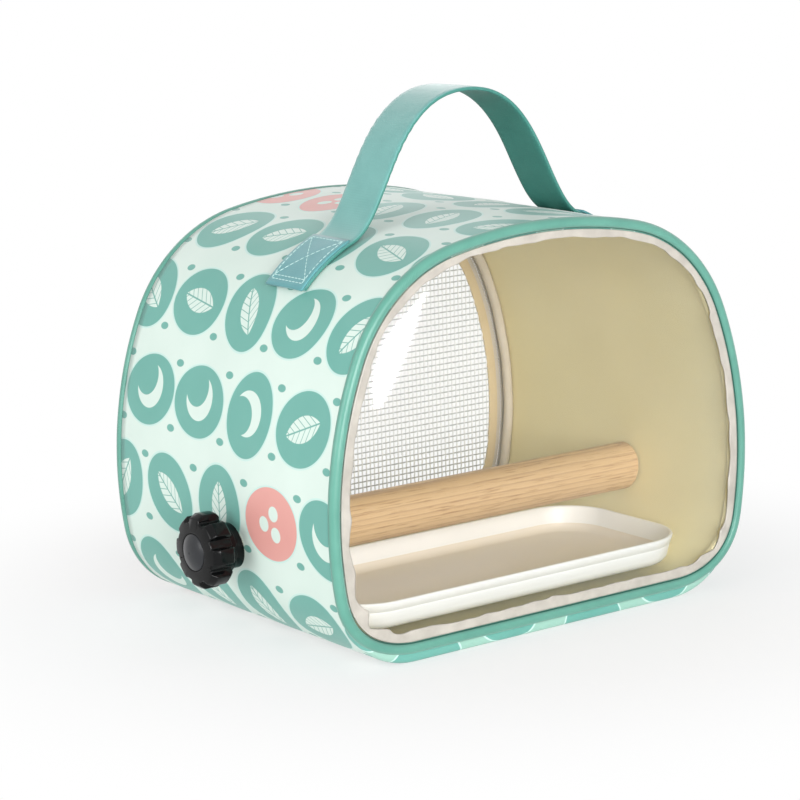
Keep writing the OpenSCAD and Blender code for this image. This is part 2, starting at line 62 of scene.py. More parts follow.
# The bag's outline: four tangent arcs a side, from the flat base to the middle of the crown
CORNER_R = 38
SIDE_R = 165
CORNER_TURN, SIDE_TURN, SHOULDER_TURN = (math.radians(a) for a in (80, 113, 168))
HALF_W = node_box("outer_wrap")[1].x
TOP_Z = node_box("outer_wrap")[1].z
WALL_Y = node_box("inner_lining")[1].y
FLAT_HALF = HALF_W - CORNER_R * math.sin(CORNER_TURN) - SIDE_R * (1 - math.sin(CORNER_TURN))

# Sizes of the sewn edges and the zip, from the construction. A name that ends in _D is a depth
# inside the outline.
WRAP_T, FOAM_T, LINING_T = 1.2, 2.8, 1
WALL_T = WRAP_T + FOAM_T + LINING_T
PIPE_R, PIPE_PROUD = 2.5, 0.5
SEAM_Y, SEAM_D = WALL_Y + PIPE_R, 4.6
# The printed cloth rolls over the front edge between these two depths.
LIP_TOP_Y, LIP_Y = -76, -78
# The bottom run of each end's edge stands this much higher than the outline.
FRONT_LIFT, BACK_LIFT = 4.5, 0.6
BINDING_W = 5
DOOR_Y = node_box("door_binding")[1].y
FOLD_Z = 21.5
ZIP_D, ZIP_GAP, COIL_W, COIL_H, ZIP_TAPE_T = 8.4, 0.6, 1.1, 1.4, 0.6
DOOR_D, DOOR_BINDING_W = 11.3, 4.8
NET_D = DOOR_D + DOOR_BINDING_W
HANDLE_Y = -17
WEB_W, WEB_T = 25, 1.8


def outline_arcs():
    """Each arc: centre x, centre z, radius, first and last turn."""
    corner = (FLAT_HALF, CORNER_R, CORNER_R, 0.0, CORNER_TURN)
    side_cx = FLAT_HALF + (CORNER_R - SIDE_R) * math.sin(CORNER_TURN)
    side_cz = CORNER_R + (SIDE_R - CORNER_R) * math.cos(CORNER_TURN)
    side = (side_cx, side_cz, SIDE_R, CORNER_TURN, SIDE_TURN)
    end_x = side_cx + SIDE_R * math.sin(SIDE_TURN)
    end_z = side_cz - SIDE_R * math.cos(SIDE_TURN)
    # The last two radii bring the outline to the middle of the crown at the bag's height.
    a = math.sin(SHOULDER_TURN) - math.sin(SIDE_TURN)
    b = -math.sin(SHOULDER_TURN)
    c = math.cos(SIDE_TURN) - math.cos(SHOULDER_TURN)
    d = math.cos(SHOULDER_TURN) + 1
    det = a * d - b * c
    shoulder_r = (-end_x * d - b * (TOP_Z - end_z)) / det
    crown_r = (a * (TOP_Z - end_z) + end_x * c) / det
    shoulder_cx = end_x - shoulder_r * math.sin(SIDE_TURN)
    shoulder_cz = end_z + shoulder_r * math.cos(SIDE_TURN)
    shoulder = (shoulder_cx, shoulder_cz, shoulder_r, SIDE_TURN, SHOULDER_TURN)
    crown = (0.0, TOP_Z - crown_r, crown_r, SHOULDER_TURN, math.pi)
    return [corner, side, shoulder, crown]


ARCS = outline_arcs()
SHOULDER = ARCS[2]
HALF_ROUND = FLAT_HALF + sum(r * (last - first) for _, _, r, first, last in ARCS)


def turn_at(x, z):
    """The turn round the outline and the signed length from the crown's middle."""
    side = -1 if x < 0 else 1
    x = abs(x)
    length = FLAT_HALF
    if x <= FLAT_HALF and z < CORNER_R:
        return 0.0, side * (HALF_ROUND - x)
    for cx, cz, r, first, last in ARCS:
        turn = math.atan2(x - cx, cz - z) % (2 * math.pi)
        if turn <= last + 1e-6:
            turn = max(turn, first)
            return turn, side * (HALF_ROUND - length - r * (turn - first))
        length += r * (last - first)
    return math.pi, 0.0


def fade(turn):
    """1 along the flat base, 0 from the end of the corner on."""
    return (1 + math.cos(math.pi * turn / CORNER_TURN)) / 2 if turn < CORNER_TURN else 0.0


def place_on_outline(turn, inset):
    for cx, cz, r, first, last in ARCS:
        if turn <= last + 1e-9:
            return Vector((cx + (r - inset) * math.sin(turn), 0, cz - (r - inset) * math.cos(turn)))
    return Vector((0, 0, TOP_Z - inset))


def outward(x, turn):
    """The way out of the bag at a turn, on the side where x lies."""
    return Vector((math.copysign(math.sin(turn), x), 0, -math.cos(turn)))


def depth_inside(x, z, turn):
    """How far a point lies inside the outline, at its turn."""
    if turn <= 0:
        return z
    return (Vector((abs(x), 0, z)) - place_on_outline(turn, 0)).length


def half_width(z, inset):
    """Half the outline's width at a height."""
    for cx, cz, r, first, last in ARCS:
        if z <= cz - (r - inset) * math.cos(last) + 1e-6:
            return cx + math.sqrt(max(0.0, (r - inset) ** 2 - (z - cz) ** 2))
    return 0.0


def height_at(x, inset, low, high):
    """The height between low and high where the outline is x wide on each side."""
    rising = half_width(low, inset) < half_width(high, inset)
    for _ in range(30):
        middle = (low + high) / 2
        if (half_width(middle, inset) < abs(x)) == rising:
            low = middle
        else:
            high = middle
    return low


# Mesh helpers
def sweep(section, closed=True, step=3.5):
    """Carries a section of (inset, y) points once round the outline and closes the hoop."""
    bm = bmesh.new()
    verts = [bm.verts.new((0, y, inset)) for inset, y in section]
    pairs = list(zip(verts, verts[1:])) + ([(verts[-1], verts[0])] if closed else [])
    last = verts + [bm.edges.new(p) for p in pairs]
    count = max(1, round(FLAT_HALF / step))
    made = bmesh.ops.spin(bm, geom=last, cent=(0, 0, 0), axis=(0, -1, 0), angle=0,
                          dvec=(FLAT_HALF / count, 0, 0), steps=count, use_duplicate=False)
    last = made["geom_last"]
    for cx, cz, r, first, end in ARCS:
        count = max(2, round(r * (end - first) / step))
        made = bmesh.ops.spin(bm, geom=last, cent=(cx, 0, cz), axis=(0, -1, 0),
                              angle=end - first, dvec=(0, 0, 0), steps=count, use_duplicate=False)
        last = made["geom_last"]
    bmesh.ops.mirror(bm, geom=bm.verts[:] + bm.edges[:] + bm.faces[:], matrix=Matrix.Identity(4),
                     merge_dist=0.01, axis="X")
    bmesh.ops.remove_doubles(bm, verts=bm.verts, dist=0.01)
    bmesh.ops.recalc_face_normals(bm, faces=bm.faces)
    return bm


def rounded(d0, d1, y0, y1, r, steps=3):
    """A rectangle of insets and depths with rounded corners, as a section."""
    corners = [(d1 - r, y1 - r, 0), (d0 + r, y1 - r, 1), (d0 + r, y0 + r, 2), (d1 - r, y0 + r, 3)]
    return [(d + r * math.cos(math.pi / 2 * (q + i / steps)),
             y + r * math.sin(math.pi / 2 * (q + i / steps)))
            for d, y, q in corners for i in range(steps + 1)]


def outline_uv(bm):
    """A map in metres: length from the crown's middle, and depth."""
    layer = bm.loops.layers.uv.new("Cut")
    for face in bm.faces:
        side = 1 if face.calc_center_median().x >= 0 else -1
        for loop in face.loops:
            x, y, z = loop.vert.co
            length = abs(turn_at(x, z)[1]) * side
            loop[layer].uv = (length * MM, y * MM)


def finish_piece(bm, name, body, material, nodes=(), smooth=True, subdivide=0):
    mesh = bpy.data.meshes.new(name)
    bmesh.ops.transform(bm, matrix=Matrix.Scale(MM, 4), verts=bm.verts)
    bm.to_mesh(mesh)
    bm.free()
    for face in mesh.polygons:
        face.use_smooth = smooth
    mesh.materials.append(material)
    piece = bpy.data.objects.new(name, mesh)
    bpy.context.scene.collection.objects.link(piece)
    if subdivide:
        surface = piece.modifiers.new("Smooth", "SUBSURF")
        surface.levels = surface.render_levels = subdivide
    if body:
        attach(piece, body)
    if nodes:
        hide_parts(*nodes)
    return piece


def ripple(v, size, seed):
    """Smooth noise from -1 to 1 at a point, with bumps about size long."""
    return noise.noise(Vector(v) / size + Vector((seed, seed * 1.7, seed * 0.3)))


# Materials
def linear(code):
    """An sRGB hex value as a linear colour."""
    parts = [int(code[i:i + 2], 16) / 255 for i in (0, 2, 4)]
    return [c / 12.92 if c <= 0.04045 else ((c + 0.055) / 1.055) ** 2.4 for c in parts] + [1]


def add(tree, kind, wires=None, **settings):
    """Adds a node, sets its properties, and fills or links its inputs."""
    made = tree.nodes.new(kind)
    for key, value in settings.items():
        setattr(made, key, value)
    for key, value in (wires or {}).items():
        if isinstance(value, bpy.types.NodeSocket):
            tree.links.new(value, made.inputs[key])
        else:
            made.inputs[key].default_value = value
    return made


def start(name, **sockets):
    """A new material with its Principled shader set."""
    material = bpy.data.materials.new(name)
    material.use_nodes = True
    tree = material.node_tree
    shader = tree.nodes["Principled BSDF"]
    for key, value in sockets.items():
        shader.inputs[key.replace("_", " ")].default_value = value
    return material, tree, shader


# A wave texture's bands lie 0.314 apart at a scale of 1. This over their spacing in millimetres
# is the scale.
WAVE_MM = 0.314 / MM


def bump(tree, shader, height, strength, distance):
    made = add(tree, "ShaderNodeBump", {"Height": height, "Strength": strength,
                                        "Distance": distance})
    tree.links.new(made.outputs["Normal"], shader.inputs["Normal"])


def mottled(name, dark, light, size_mm, rough, thread_mm=0.0, grain_mm=0.0, depth_mm=0.05,
            on_uv=False, **sockets):
    """A surface whose colour drifts between two near tones, with a weave, a grain or neither."""
    material, tree, shader = start(name, Roughness=rough, **sockets)
    place = add(tree, "ShaderNodeTexCoord").outputs["UV" if on_uv else "Object"]
    cloud = add(tree, "ShaderNodeTexNoise", {"Vector": place, "Scale": 1 / (size_mm * MM),
                                             "Detail": 4.0})
    # The mix node's colour sockets are its seventh and eighth inputs and its third output.
    tone = add(tree, "ShaderNodeMix", {0: cloud.outputs["Fac"], 6: linear(dark), 7: linear(light)},
               data_type="RGBA")
    tree.links.new(tone.outputs[2], shader.inputs["Base Color"])
    if thread_mm:
        # Threads under and over each other: two crossed waves, the higher of which shows
        waves = [add(tree, "ShaderNodeTexWave", {"Vector": place, "Scale": WAVE_MM / thread_mm},
                     bands_direction=axis).outputs["Fac"] for axis in ("X", "Y")]
        height = add(tree, "ShaderNodeMath", {0: waves[0], 1: waves[1]}, operation="MAXIMUM")
        bump(tree, shader, height.outputs[0], 0.5, depth_mm * MM)
    elif grain_mm:
        grain = add(tree, "ShaderNodeTexNoise", {"Vector": place, "Scale": 1 / (grain_mm * MM)})
        bump(tree, shader, grain.outputs["Fac"], 0.3, depth_mm * MM)
    return material


def metal(name, tone, rough):
    """Bare or plated metal with a fine even grain, about one mark to the millimetre."""
    material, tree, shader = start(name, Metallic=1.0, Roughness=rough)
    shader.inputs["Base Color"].default_value = linear(tone)
    place = add(tree, "ShaderNodeTexCoord").outputs["Object"]
    grain = add(tree, "ShaderNodeTexNoise", {"Vector": place, "Scale": 0.9 / MM, "Detail": 3.0})
    bump(tree, shader, grain.outputs["Fac"], 0.2, 0.02 * MM)
    return material


def printed_canvas():
    """Coated polyester, screen printed: pale mint, with teal discs that hold a leaf, a crescent or
    berries. The coating leaves it matt with a faint grain. Lengths are in millimetres."""
    material, tree, shader = start("coated_print_canvas", Roughness=0.5, Sheen_Weight=0.15)
    pitch_u, pitch_v = 41.0, 37.0
    disc_r, rim_w, disc_shape = 16.6, 0.8, (1.1, 0.92, 1)
    leaf_bow, leaf_set, rib_w = 15.0, 9.6, 0.45
    vein_pitch, vein_lean, vein_share, vein_soft = 3.6, 0.9, 0.09, 0.06
    moon_at, moon_r, bite_at, bite_r = (1.5, 0, 0), 9.5, (5.5, 2.5, 0), 8.0
    berry_r, berry_set = 3.3, 4.9
    seed_r, seed_shape = 1.7, 0.6
    no_moon_share, no_salmon_share = 0.72, 0.86
    # Each motif is turned by chance, over this many radians in all.
    turn_range = 3.6

    def math_node(operation, *values, clamp=False):
        made = add(tree, "ShaderNodeMath", dict(enumerate(values)), operation=operation,
                   use_clamp=clamp)
        return made.outputs[0]

    def less_half(value):
        return math_node("SUBTRACT", value, 0.5)

    def but_not(value):
        return math_node("SUBTRACT", 1.0, value)

    def length_of(vector):
        return add(tree, "ShaderNodeVectorMath", {0: vector}, operation="LENGTH").outputs["Value"]

    def below(value, limit, soft=0.25):
        """1 where value is under the limit, with an edge soft millimetres wide."""
        return math_node("MULTIPLY", math_node("SUBTRACT", limit, value), 1 / soft, clamp=True)

    def mixed(factor, first, second):
        made = add(tree, "ShaderNodeMixRGB", {"Fac": factor, "Color1": first, "Color2": second})
        return made.outputs[0]

    cut = add(tree, "ShaderNodeUVMap", uv_map="Cut").outputs[0]
    parts = add(tree, "ShaderNodeSeparateXYZ", {0: cut})
    u = math_node("MULTIPLY", parts.outputs[0], 1 / MM)
    v = math_node("MULTIPLY", parts.outputs[1], 1 / MM)
    # Columns run front to back and every second one is set back by half a pitch.
    column_place = math_node("DIVIDE", u, pitch_u)
    column = math_node("FLOOR", column_place)
    half = math_node("MULTIPLY", math_node("PINGPONG", column, 1.0), 0.5)
    row_place = math_node("ADD", math_node("DIVIDE", v, pitch_v), half)
    row = math_node("FLOOR", row_place)
    x = math_node("MULTIPLY", less_half(math_node("FRACT", column_place)), pitch_u)
    y = math_node("MULTIPLY", less_half(math_node("FRACT", row_place)), pitch_v)
    cell = add(tree, "ShaderNodeCombineXYZ", {0: column, 1: row, 2: 3.0}).outputs[0]
    chance = add(tree, "ShaderNodeTexWhiteNoise", {"Vector": cell}, noise_dimensions="3D")
    draws = add(tree, "ShaderNodeSeparateColor", {0: chance.outputs["Color"]})
    point = add(tree, "ShaderNodeCombineXYZ", {0: x, 1: y}).outputs[0]
    tilt = math_node("MULTIPLY", less_half(draws.outputs[0]), turn_range)
    turned = add(tree, "ShaderNodeVectorRotate", {"Vector": point, "Angle": tilt},
                 rotation_type="Z_AXIS").outputs[0]

    def far_from(centre, stretch=(1, 1, 1)):
        moved = add(tree, "ShaderNodeVectorMath", {0: turned, 1: centre}, operation="SUBTRACT")
        scaled = add(tree, "ShaderNodeVectorMath", {0: moved.outputs[0], 1: stretch},
                     operation="MULTIPLY")
        return length_of(scaled.outputs[0])

    from_middle = far_from((0, 0, 0), disc_shape)
    disc, rim = below(from_middle, disc_r), below(from_middle, disc_r + rim_w)
    # A leaf is where two large circles overlap, less its rib and its slanting veins.
    leaf = below(math_node("MAXIMUM", far_from((leaf_set, 0, 0)), far_from((-leaf_set, 0, 0))),
                 leaf_bow)
    spot = add(tree, "ShaderNodeSeparateXYZ", {0: turned})
    off = math_node("ABSOLUTE", spot.outputs[0])
    veins = math_node("FRACT", math_node("DIVIDE", math_node("SUBTRACT", spot.outputs[1],
                      math_node("MULTIPLY", off, vein_lean)), vein_pitch))
    vein = below(math_node("ABSOLUTE", less_half(veins)), vein_share, vein_soft)
    leaf = math_node("MULTIPLY", leaf, but_not(math_node("MAXIMUM", below(off, rib_w), vein)))
    moon = math_node("MULTIPLY", below(far_from(moon_at), moon_r),
                     but_not(below(far_from(bite_at), bite_r)))
    is_moon = math_node("GREATER_THAN", draws.outputs[1], no_moon_share)
    motif = math_node("ADD", math_node("MULTIPLY", moon, is_moon),
                      math_node("MULTIPLY", leaf, but_not(is_moon)))
    # Only a strip of each motif would show on the rolled lip, so it carries teal discs alone, on a
    # deeper ground that is painted shade under the piping.
    on_wall = math_node("GREATER_THAN", v, LIP_TOP_Y)
    salmon = math_node("MULTIPLY", on_wall,
                       math_node("GREATER_THAN", draws.outputs[2], no_salmon_share))
    berries = [below(far_from((berry_set * math.sin(a), berry_set * math.cos(a), 0)), berry_r)
               for a in (0, math.tau / 3, -math.tau / 3)]
    berries = math_node("MAXIMUM", berries[0], math_node("MAXIMUM", berries[1], berries[2]))
    motif = math_node("ADD", math_node("MULTIPLY", motif, but_not(salmon)),
                      math_node("MULTIPLY", berries, salmon))
    # One seed in each gap between three discs
    seed_x = math_node("SUBTRACT", math_node("ABSOLUTE", x), pitch_u / 3)
    seed_y = math_node("MULTIPLY", math_node("SUBTRACT", math_node("ABSOLUTE", y), pitch_v / 2),
                       seed_shape)
    seed = below(length_of(add(tree, "ShaderNodeCombineXYZ", {0: seed_x, 1: seed_y}).outputs[0]),
                 seed_r)
    # The inks drift in tone over some 36 mm.
    cloud = add(tree, "ShaderNodeTexNoise", {"Vector": cut, "Scale": 0.028 / MM,
                                             "Detail": 3.0}).outputs["Fac"]
    ground = mixed(cloud, linear("D2E5DB"), linear("E1EFE7"))
    # On the lip the ground turns a deeper teal: painted shade.
    ground = mixed(on_wall, linear("9CC7B8"), ground)
    teal = mixed(cloud, linear("5DA397"), linear("73B2A6"))
    red = mixed(cloud, linear("DC938B"), linear("E7AAA1"))
    colour = mixed(seed, ground, teal)
    colour = mixed(rim, colour, linear("C8E6DE"))
    colour = mixed(disc, colour, mixed(salmon, teal, red))
    motif = math_node("MULTIPLY", motif, math_node("MULTIPLY", disc, on_wall))
    colour = mixed(motif, colour, ground)
    tree.links.new(colour, shader.inputs["Base Color"])
    # The coating fills most of the weave, so 1.4 threads a millimetre show only as a faint grain,
    # under creases about 24 mm long.
    grain = add(tree, "ShaderNodeTexNoise", {"Vector": cut, "Scale": 1.4 / MM, "Detail": 2.0})
    crease = add(tree, "ShaderNodeTexNoise", {"Vector": cut, "Scale": 0.042 / MM, "Detail": 5.0})
    height = math_node("ADD", math_node("MULTIPLY", crease.outputs["Fac"], 6.0),
                       math_node("MULTIPLY", grain.outputs["Fac"], 0.3))
    bump(tree, shader, height, 0.35, 0.12 * MM)
    return material


def beech():
    """Sanded beech: close straight grain along the rod, fine dark pores, no varnish."""
    material, tree, shader = start("sanded_beech", Roughness=0.5)
    growth_mm, pores_per_mm, drift_per_mm = 2.6, 1.5, 0.06
    # The rod lies along X. Growth lines are drawn out 14 times that way, and pores 20 times.
    growth_drawn, pores_drawn = (0.07, 1, 1), (0.05, 1, 1)
    place = add(tree, "ShaderNodeTexCoord").outputs["Object"]
    drawn = add(tree, "ShaderNodeMapping", {"Vector": place, "Scale": growth_drawn}).outputs[0]
    lines = add(tree, "ShaderNodeTexWave", {"Vector": drawn, "Scale": WAVE_MM / growth_mm,
                                            "Distortion": 7.0, "Detail": 3.0,
                                            "Detail Scale": 0.6, "Detail Roughness": 0.6},
                bands_direction="Z", wave_profile="SAW")
    pores_at = add(tree, "ShaderNodeMapping", {"Vector": place, "Scale": pores_drawn}).outputs[0]
    pores = add(tree, "ShaderNodeTexNoise", {"Vector": pores_at, "Scale": pores_per_mm / MM,
                                             "Detail": 3.0})
    drift = add(tree, "ShaderNodeTexNoise", {"Vector": drawn, "Scale": drift_per_mm / MM,
                                             "Detail": 2.0})
    ramp = add(tree, "ShaderNodeValToRGB", {"Fac": lines.outputs["Fac"]})
    first, last = ramp.color_ramp.elements
    first.position, first.color = 0.0, linear("DBB683")
    last.position, last.color = 1.0, linear("A67A4C")
    middle = ramp.color_ramp.elements.new(0.7)
    middle.color = linear("CDA472")
    pale = add(tree, "ShaderNodeMix", {0: drift.outputs["Fac"], 6: ramp.outputs[0],
                                       7: linear("E0BF92")}, data_type="RGBA")
    dark = add(tree, "ShaderNodeMapRange", {"Value": pores.outputs["Fac"], "From Min": 0.56,
                                            "From Max": 0.7, "To Max": 0.6})
    tone = add(tree, "ShaderNodeMix", {0: dark.outputs[0], 6: pale.outputs[2],
                                       7: linear("9C6E3D")}, data_type="RGBA")
    tree.links.new(tone.outputs[2], shader.inputs["Base Color"])
    bump(tree, shader, pores.outputs["Fac"], 0.3, 0.1 * MM)
    return material


def clear_sheet():
    """Clear soft vinyl: almost invisible head on, bright where it turns away."""
    material, tree, shader = start("clear_vinyl", Roughness=0.03)
    shader.inputs["Base Color"].default_value = linear("6E7878")
    facing = add(tree, "ShaderNodeLayerWeight", {"Blend": 0.25})
    alpha = add(tree, "ShaderNodeMapRange", {"Value": facing.outputs["Fresnel"],
                                             "To Min": 0.03, "To Max": 0.5})
    tree.links.new(alpha.outputs[0], shader.inputs["Alpha"])
    return material


FINISHES = {
    # Polyester canvas, coated and screen printed
    "print": printed_canvas(),
    # Thin coated polyester, laid over foam: smooth cream with a slow drift and hardly any sheen
    "lining": mottled("coated_polyester_lining", "ECDEA4", "F6EABA", 45, 0.5,
                      Sheen_Weight=0.1),
    # Satin tape cut on the bias and sewn over a cord: a narrow shine runs along it
    "piping": mottled("satin_corded_piping", "4F8E7F", "65A493", 12, 0.34, thread_mm=0.7,
                      Sheen_Weight=0.2),
    # The sunk row where that cord is stitched in: a dark dull teal, which is painted shade in its
    # groove
    "piping_groove_shade": mottled("piping_groove_painted_shade", "2C5F54", "3A7266", 6, 0.6),
    # Soft vinyl, calendered to a smooth face
    "clear": clear_sheet(),
    # White vinyl tape folded over the sheet's edge: half glossy, so that its waves catch light
    "white_tape": mottled("white_vinyl_binding", "A39D94", "D2CCC2", 7, 0.3),
    # Satin bias tape rolled over the back seam: beige with a soft shine on its round
    "seam_tape": mottled("satin_bias_tape", "C4B9A6", "D8CDBC", 18, 0.42),
    # Grosgrain ribbon, woven with ribs: matt beige
    "beige": mottled("grosgrain_binding", "C8B28A", "D9C59E", 15, 0.6, thread_mm=0.9),
    # Knitted polyester zip tape: matt, with close loops
    "zip_tape": mottled("knitted_zip_tape", "C0B5A2", "D2C7B5", 8, 0.7, thread_mm=0.8),
    # Nylon line, drawn and wound into teeth: smooth, with small highlights
    "coil": mottled("nylon_zip_coil", "C8BDAA", "D8CEBD", 6, 0.4),
    # Nylon yarn, woven: the level yarn is grey, painted shade on its underside, and the upright one
    # white
    "net": mottled("nylon_net_level_yarn_painted_shade", "B4B7B8", "C6C9C9", 5, 0.45),
    "net_upright": mottled("nylon_net_upright_yarn", "F2F3F3", "FAFAFA", 5, 0.4),
    # Polyester webbing, woven: its threads give a silky shine along the strap
    "webbing": mottled("polyester_webbing", "5F9F9A", "75B4AE", 10, 0.34, thread_mm=1.1,
                       depth_mm=0.08, on_uv=True, Sheen_Weight=0.25),
    # The strap's inner face and edges: a deeper and duller teal, which is painted shade
    "webbing_painted_shade": mottled("polyester_webbing_painted_shade", "3C7F75", "4B9085", 10, 0.5,
                             thread_mm=1.1, depth_mm=0.08, on_uv=True),
    # The webbing's end, folded under and sewn down: bluer and deeper than the strap
    "patch": mottled("folded_webbing_patch", "4F9197", "62A4A8", 10, 0.42, thread_mm=1.1,
                     depth_mm=0.08, on_uv=True, Sheen_Weight=0.2),
    # Spun polyester thread: pale and matt against the patch
    "thread": mottled("sewing_thread", "B8DFDB", "CDEBE7", 4, 0.6),
    # Closed-cell foam, sliced: pale and dull, with small pits
    "foam": mottled("closed_cell_foam", "E2DFD4", "EEEBE2", 6, 0.8, grain_mm=0.8),
    # Pressed paper board: grey-brown and fibrous
    "board": mottled("pressed_board", "AFA796", "C3BBAB", 10, 0.7, grain_mm=0.7),
    # Beech, turned and sanded
    "beech": beech(),
    # ABS from a polished mould: near black, so that only its tight gloss shows the form
    "black": mottled("moulded_gloss_plastic", "060707", "0C0D0E", 10, 0.14,
                     Specular_IOR_Level=0.18),
    # ABS from a satin mould: charcoal with a broad soft highlight
    "cap": mottled("moulded_satin_plastic", "1B1D20", "26282C", 10, 0.3,
                   Specular_IOR_Level=0.4),
    # Moulded polypropylene: warm white and slightly waxy. Its inside faces are beige: painted shade
    # and a painted reflection of the lining
    "tray": mottled("moulded_polypropylene", "F8F7F3", "FDFDFB", 25, 0.4),
    "tray_painted_shade": mottled("moulded_polypropylene_painted_shade", "ECE2D0", "F4EBDC", 30, 0.5),
    # Zinc alloy, cast and plated: grey with blurred reflections
    "zinc": metal("plated_zinc", "9A9A98", 0.3),
    # Steel screw, zinc plated: a little brighter and duller
    "steel": metal("zinc_plated_steel", "B5B5B5", 0.35),
    # Pressed brass with nickel plate: bright, with clear reflections
    "nickel": metal("nickel_plate", "CFCBC4", 0.22),
    # Turned brass, bare
    "brass": metal("turned_brass", "C9A85A", 0.3),
}


def raise_run(bm, lift):
    """Lifts the bottom run of an edge, fading out over the corners."""
    for v in bm.verts:
        v.co.z += lift * fade(turn_at(v.co.x, v.co.z)[0])


def cut_at(bm, z, keep_above):
    """Cuts a closed shell at a height, keeps one side and closes it."""
    cut = bmesh.ops.bisect_plane(bm, geom=bm.verts[:] + bm.edges[:] + bm.faces[:],
                                 plane_co=(0, 0, z), plane_no=(0, 0, 1 if keep_above else -1),
                                 clear_inner=True)
    edges = [g for g in cut["geom_cut"] if isinstance(g, bmesh.types.BMEdge)]
    bmesh.ops.holes_fill(bm, edges=edges)


def scatter(shape, places):
    """One mesh with a copy of a shape at each place."""
    bm = bmesh.new()
    for place in places:
        start = len(bm.verts)
        bm.from_mesh(shape)
        bm.verts.ensure_lookup_table()
        bmesh.ops.transform(bm, matrix=place, verts=bm.verts[start:])
    return bm


def filled_outline(inset, y, puff, lift, rings=9):
    """A disc inside the outline, in rings drawn towards its middle, puffed along the depth and
    slightly slack."""
    slack, slack_l = 0.25, 110
    bm = sweep([(inset, y)], closed=False, step=5)
    raise_run(bm, lift)
    middle = Vector((0, y, TOP_Z / 2))
    edge = bm.edges[:]
    for ring in range(1, rings):
        made = bmesh.ops.extrude_edge_only(bm, edges=edge)["geom"]
        verts = [g for g in made if isinstance(g, bmesh.types.BMVert)]
        edge = [g for g in made if isinstance(g, bmesh.types.BMEdge)
                and all(v in verts for v in g.verts)]
        share = (rings - ring) / (rings - ring + 1)
        bmesh.ops.scale(bm, verts=verts, vec=(share, 1, share),
                        space=Matrix.Translation(-middle))
        depth = 1 - (1 - ring / rings) ** 2
        for v in verts:
            v.co.y = y + puff * depth + slack * ripple(v.co, slack_l, 2)
    bmesh.ops.contextual_create(bm, geom=edge)
    bmesh.ops.recalc_face_normals(bm, faces=bm.faces)
    return bm


def wrap_piece():
    """Printed cloth round the tunnel, with the rolled lip that shows under the front piping."""
    rows = 40
    lip = [(0, LIP_Y + 1.8), (0.5, LIP_Y + 0.8), (1.4, LIP_Y + 0.15), (2.6, LIP_Y), (SEAM_D, LIP_Y)]
    ys = [-WALL_Y + 2 * WALL_Y * i / rows for i in range(rows + 1)]
    section = list(reversed(lip)) + [(0, y) for y in ys]
    section += [(WRAP_T, WALL_Y), (WRAP_T, -WALL_Y), (SEAM_D, LIP_TOP_Y)]
    bm = sweep(section)
    outline_uv(bm)
    # Round the lip the print goes on at its own scale, down the front edge.
    layer = bm.loops.layers.uv["Cut"]
    for loop in (l for f in bm.faces for l in f.loops if l.vert.co.y < LIP_TOP_Y):
        x, y, z = loop.vert.co
        loop[layer].uv.y = (y - depth_inside(x, z, turn_at(x, z)[0])) * MM
    # Soft swells between the seams, which fade out at the seams and over the flat base
    long_swell, long_l, short_swell, short_l = 0.6, 42, 0.16, 14
    for v in bm.verts:
        x, y, z = v.co
        turn, _ = turn_at(x, z)
        if abs(y) < WALL_Y - 1:
            room = math.cos(math.pi / 2 * y / WALL_Y) ** 0.5
            v.co += outward(x, turn) * (1 - fade(turn)) * room * (
                long_swell * ripple((x, y, z), long_l, 3)
                + short_swell * ripple((x, y, z), short_l, 7))
    piece = finish_piece(bm, "printed_wrap", "bag", FINISHES["print"],
                         ["outer_wrap"])


def foam_piece():
    """The padding, a little thinner than its room so that it stays behind cloth and lining."""
    rows, play = 12, 0.15
    ys = [-WALL_Y + 2 * WALL_Y * i / rows for i in range(rows + 1)]
    d0, d1 = WRAP_T + play, WRAP_T + FOAM_T - play
    bm = sweep([(d0, y) for y in ys] + [(d1, y) for y in reversed(ys)], step=6)
    piece = finish_piece(bm, "foam_padding", "bag", FINISHES["foam"], ["foam_core"])


def lining_piece():
    """Cream lining, drawn smooth over the foam with a few soft puckers."""
    rows, thick, pucker, pucker_l = 36, 0.9, 0.8, 34
    ys = [-WALL_Y + 2 * WALL_Y * i / rows for i in range(rows + 1)]
    bm = sweep([(WALL_T, y) for y in ys] + [(WALL_T - thick, WALL_Y), (WALL_T - thick, -WALL_Y)])
    outline_uv(bm)
    for v in bm.verts:
        x, y, z = v.co
        turn, _ = turn_at(x, z)
        room = (1 - abs(y / WALL_Y) ** 4) * (1 - fade(turn))
        v.co -= outward(x, turn) * room * pucker * max(0, ripple((x * 0.6, y, z), pucker_l, 8))
    piece = finish_piece(bm, "cream_lining", "bag", FINISHES["lining"],
                         ["inner_lining"])


def piping_piece(name, y, lift, node):
    """A cord in a bias-cut cover: round outside, with the groove of its stitching inside."""
    sides, groove, sway, sway_l = 20, 0.3, 0.1, 16
    # Faces whose middle lies between these degrees round the cord get the groove's painted shade.
    seam_from, seam_to = 14, 42
    centre = PIPE_R - PIPE_PROUD
    outer = math.copysign(1, y)
    section = []
    for i in range(sides):
        turn = 2 * math.pi * i / sides
        r = PIPE_R - (groove if i in (1, 2) else 0.0)
        section.append((centre + r * math.cos(turn), y + outer * r * math.sin(turn)))
    bm = sweep(section, step=2.5)
    outline_uv(bm)
    for face in bm.faces:
        x, at_y, z = face.calc_center_median()
        inset = depth_inside(x, z, turn_at(x, z)[0])
        round_cord = math.degrees(math.atan2((at_y - y) * outer, inset - centre))
        face.material_index = int(seam_from < round_cord < seam_to)
    for v in bm.verts:
        v.co.y += sway * ripple(v.co, sway_l, 5)
    raise_run(bm, lift)
    piece = finish_piece(bm, name, "bag", FINISHES["piping"], [node], subdivide=1)
    piece.data.materials.append(FINISHES["piping_groove_shade"])


